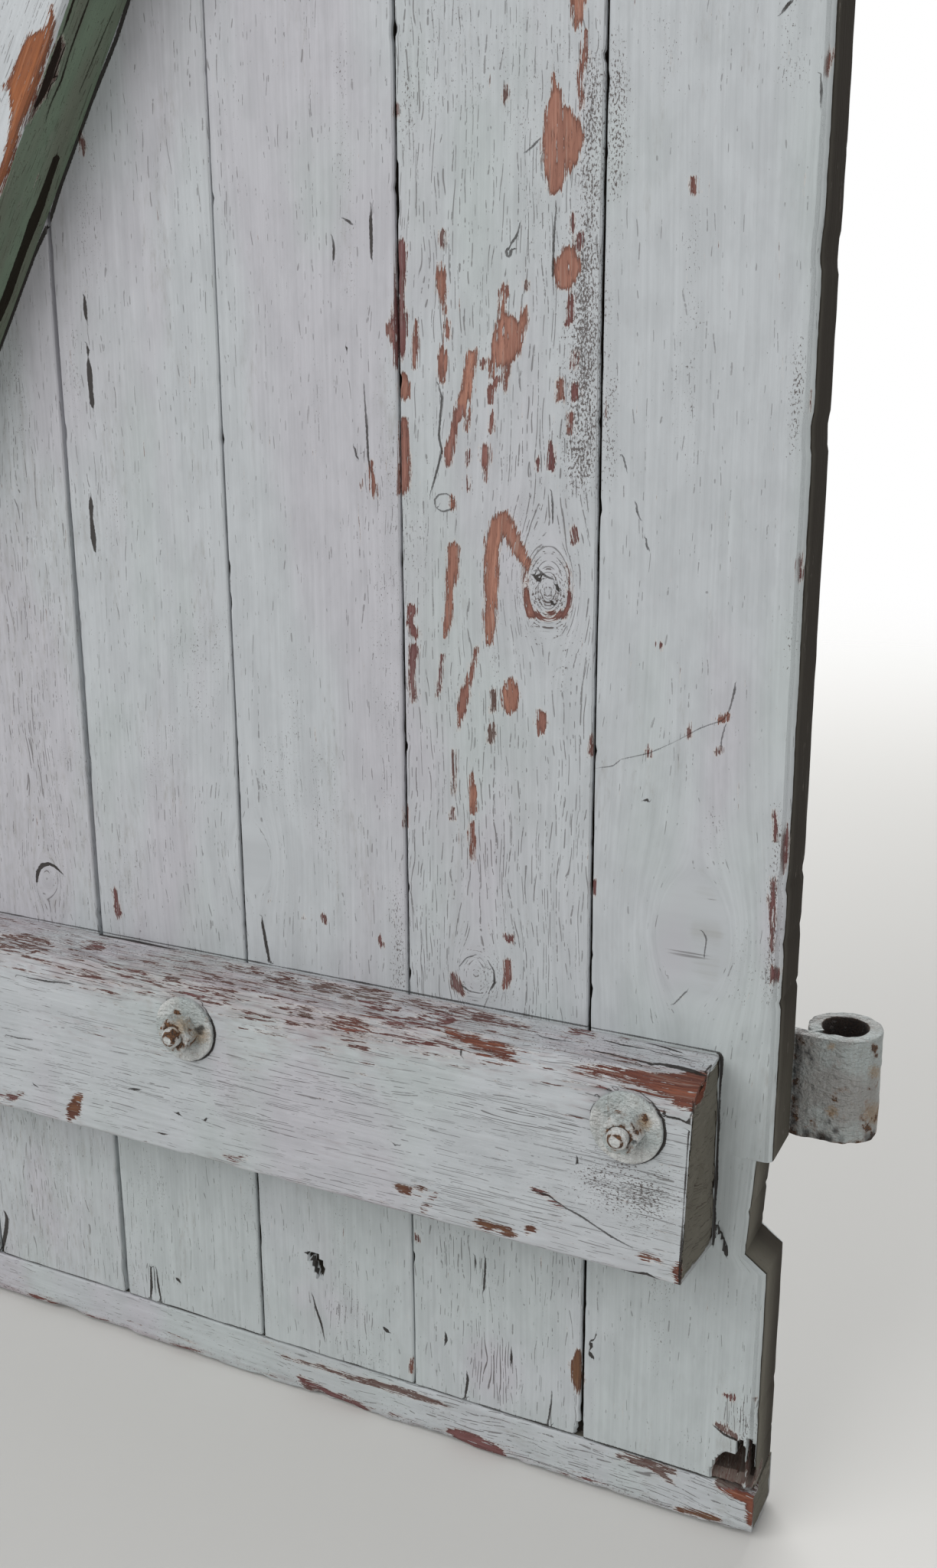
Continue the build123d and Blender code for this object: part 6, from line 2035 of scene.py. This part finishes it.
class SHUTTER_OT_stage(bpy.types.Operator):
    """Make the camera, the floor and the lights"""
    bl_idname = "shutter.stage"
    bl_label = "Stage"

    def execute(self, context):
        studio = context.scene.shutter_studio
        camera_data = bpy.data.cameras.new("shutter_camera")
        camera_data.sensor_width = SENSOR_WIDTH
        camera_data.lens = FOCAL_PIXELS / PHOTO_HEIGHT * SENSOR_WIDTH
        camera_data.clip_start = 0.01
        camera = bpy.data.objects.new("shutter_camera", camera_data)
        axes = Matrix([VIEW_RIGHT, VIEW_UP, VIEW_BACK]).transposed().to_4x4()
        camera.matrix_world = Matrix.Translation(Vector(EYE_PLACE * MM)) @ axes
        context.scene.collection.objects.link(camera)
        context.scene.camera = camera
        self.add_floor(context, studio)
        self.add_sky(context, studio)
        middle = Vector((-0.30, -0.03, 0.25))
        self.add_light(context, "key_light", studio.key_power, (-1.25, -2.1, 1.95), middle, 2.4)
        self.add_light(context, "side_light", studio.side_power, (1.6, -1.1, 0.9), middle, 1.8)
        self.add_light(context, "rear_light", studio.rear_power, (-0.9, 2.4, 1.9), middle, 2.4)
        context.scene.view_settings.view_transform = "Standard"
        return {"FINISHED"}

    @staticmethod
    def add_floor(context, studio):
        """Plain pale floor just under the leaf."""
        reach, level = 7.0, (FOOT_Z - RAIL_SAG - RAIL_BULGE) * MM - 0.0004
        mesh = bpy.data.meshes.new("studio_floor")
        corners = [(-reach, -reach, level), (reach, -reach, level), (reach, reach, level), (-reach, reach, level)]
        mesh.from_pydata(corners, [], [(0, 1, 2, 3)])
        floor = bpy.data.objects.new("studio_floor", mesh)
        context.scene.collection.objects.link(floor)
        material, tree, surface = new_material("studio_floor")
        place = tree.add("ShaderNodeTexCoord").outputs["Object"]
        cloud = tree.noise(place, (0.6, 0.6), 2.0)
        darker = tuple(level * 0.97 for level in studio.floor)
        tree.feed(surface.inputs["Base Color"], tree.mix(cloud, darker, studio.floor))
        surface.inputs["Roughness"].default_value = 0.9
        surface.inputs["Specular IOR Level"].default_value = 0.2
        away = tree.add("ShaderNodeVectorMath", {0: place}, operation="LENGTH").outputs["Value"]
        clear = tree.add("ShaderNodeBsdfTransparent")
        fade = tree.add("ShaderNodeMixShader", {0: tree.step(away, 1.0, 2.6), 1: surface.outputs[0], 2: clear.outputs[0]})
        output = next(node for node in tree.tree.nodes if node.type == "OUTPUT_MATERIAL")
        tree.feed(output.inputs["Surface"], fade.outputs[0])
        mesh.materials.append(material)

    @staticmethod
    def add_sky(context, studio):
        """Even light from all round, seen as plain white."""
        world = bpy.data.worlds.new("studio_sky")
        world.use_nodes = True
        world.node_tree.nodes.clear()
        tree = NodeTree(world.node_tree)
        path = tree.add("ShaderNodeLightPath").outputs
        seen = tree.math("MAXIMUM", path["Is Camera Ray"], path["Is Glossy Ray"])
        seen = tree.math("MAXIMUM", seen, path["Is Transmission Ray"])
        background = tree.add("ShaderNodeBackground", {"Color": (1.0, 1.0, 1.0)})
        tree.feed(background.inputs["Strength"], tree.between(seen, studio.sky, 1.0))
        output = tree.add("ShaderNodeOutputWorld")
        tree.feed(output.inputs["Surface"], background.outputs[0])
        context.scene.world = world

    @staticmethod
    def add_light(context, name, power, place, aim, size):
        """Soft square light turned towards the leaf."""
        data = bpy.data.lights.new(name, "AREA")
        data.energy = power
        data.size = size
        light = bpy.data.objects.new(name, data)
        light.location = place
        light.rotation_euler = (Vector(place) - aim).to_track_quat("Z", "Y").to_euler()
        context.scene.collection.objects.link(light)


class SHUTTER_OT_boards(bpy.types.Operator):
    """Dress the upright boards"""
    bl_idname = "shutter.boards"
    bl_label = "Boards"

    def execute(self, context):
        for index in range(BOARD_COUNT):
            make_board(index)
        return {"FINISHED"}


class SHUTTER_OT_rails(bpy.types.Operator):
    """Dress the rails at the ends of the boards"""
    bl_idname = "shutter.rails"
    bl_label = "Rails"

    def execute(self, context):
        make_rail("bottom_rail", 501, True)
        make_rail("top_rail", 551, False)
        return {"FINISHED"}


class SHUTTER_OT_ledges(bpy.types.Operator):
    """Dress the two ledges"""
    bl_idname = "shutter.ledges"
    bl_label = "Ledges"

    def execute(self, context):
        make_ledge("lower_ledge", 601, True)
        make_ledge("upper_ledge", 651, False)
        return {"FINISHED"}


class SHUTTER_OT_brace(bpy.types.Operator):
    """Dress the brace"""
    bl_idname = "shutter.brace"
    bl_label = "Brace"

    def execute(self, context):
        make_brace()
        return {"FINISHED"}


class SHUTTER_OT_straps(bpy.types.Operator):
    """Dress the strap hinges"""
    bl_idname = "shutter.straps"
    bl_label = "Straps"

    def execute(self, context):
        make_strap("lower_strap", 701)
        make_strap("upper_strap", 751)
        return {"FINISHED"}


class SHUTTER_OT_fasteners(bpy.types.Operator):
    """Dress the bolts, washers, nuts and nails"""
    bl_idname = "shutter.fasteners"
    bl_label = "Fasteners"

    def execute(self, context):
        for (level, number), (bolt_rust, washer_rust, nut_rust) in FASTENER_RUST.items():
            seed = 800 + 10 * number + (5 if level == "upper" else 0)
            make_bolt(f"{level}_bolt_{number}", bolt_rust, seed)
            make_washer(f"{level}_washer_{number}", washer_rust, seed + 1)
            make_nut(f"{level}_nut_{number}", nut_rust, seed + 2)
        material = nail_finish()
        for node in ("lower_ledge_nails", "upper_ledge_nails", "brace_nails"):
            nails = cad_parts[node]
            nails.data.materials.clear()
            nails.data.materials.append(material)
        return {"FINISHED"}


class SHUTTER_PT_panel(bpy.types.Panel):
    """Lists the shutter's operators and settings"""
    bl_idname = "SHUTTER_PT_panel"
    bl_label = "Board Shutter Leaf"
    bl_space_type = "VIEW_3D"
    bl_region_type = "UI"
    bl_category = "Shutter"

    def draw(self, context):
        layout = self.layout
        for operator in OPERATORS:
            layout.operator(operator.bl_idname)
        for pointer, group in PROPERTY_GROUPS.items():
            settings = getattr(context.scene, pointer)
            box = layout.box()
            for name in group.__annotations__:
                box.prop(settings, name)


PROPERTY_GROUPS = {
    "shutter_sizes": ShutterSizes,
    "shutter_colours": ShutterColours,
    "shutter_finish": ShutterFinish,
    "shutter_studio": ShutterStudio,
}

OPERATORS = (
    SHUTTER_OT_stage,
    SHUTTER_OT_boards,
    SHUTTER_OT_rails,
    SHUTTER_OT_ledges,
    SHUTTER_OT_brace,
    SHUTTER_OT_straps,
    SHUTTER_OT_fasteners,
)


def register():
    for pointer, group in PROPERTY_GROUPS.items():
        bpy.utils.register_class(group)
        setattr(bpy.types.Scene, pointer, PointerProperty(type=group))
    for operator in OPERATORS:
        bpy.utils.register_class(operator)
    bpy.utils.register_class(SHUTTER_PT_panel)


def unregister():
    bpy.utils.unregister_class(SHUTTER_PT_panel)
    for operator in reversed(OPERATORS):
        bpy.utils.unregister_class(operator)
    for pointer, group in reversed(PROPERTY_GROUPS.items()):
        delattr(bpy.types.Scene, pointer)
        bpy.utils.unregister_class(group)


def main():
    register()
    bpy.ops.shutter.stage()
    bpy.ops.shutter.boards()
    bpy.ops.shutter.rails()
    bpy.ops.shutter.ledges()
    bpy.ops.shutter.brace()
    bpy.ops.shutter.straps()
    bpy.ops.shutter.fasteners()


if __name__ == "__main__":
    main()
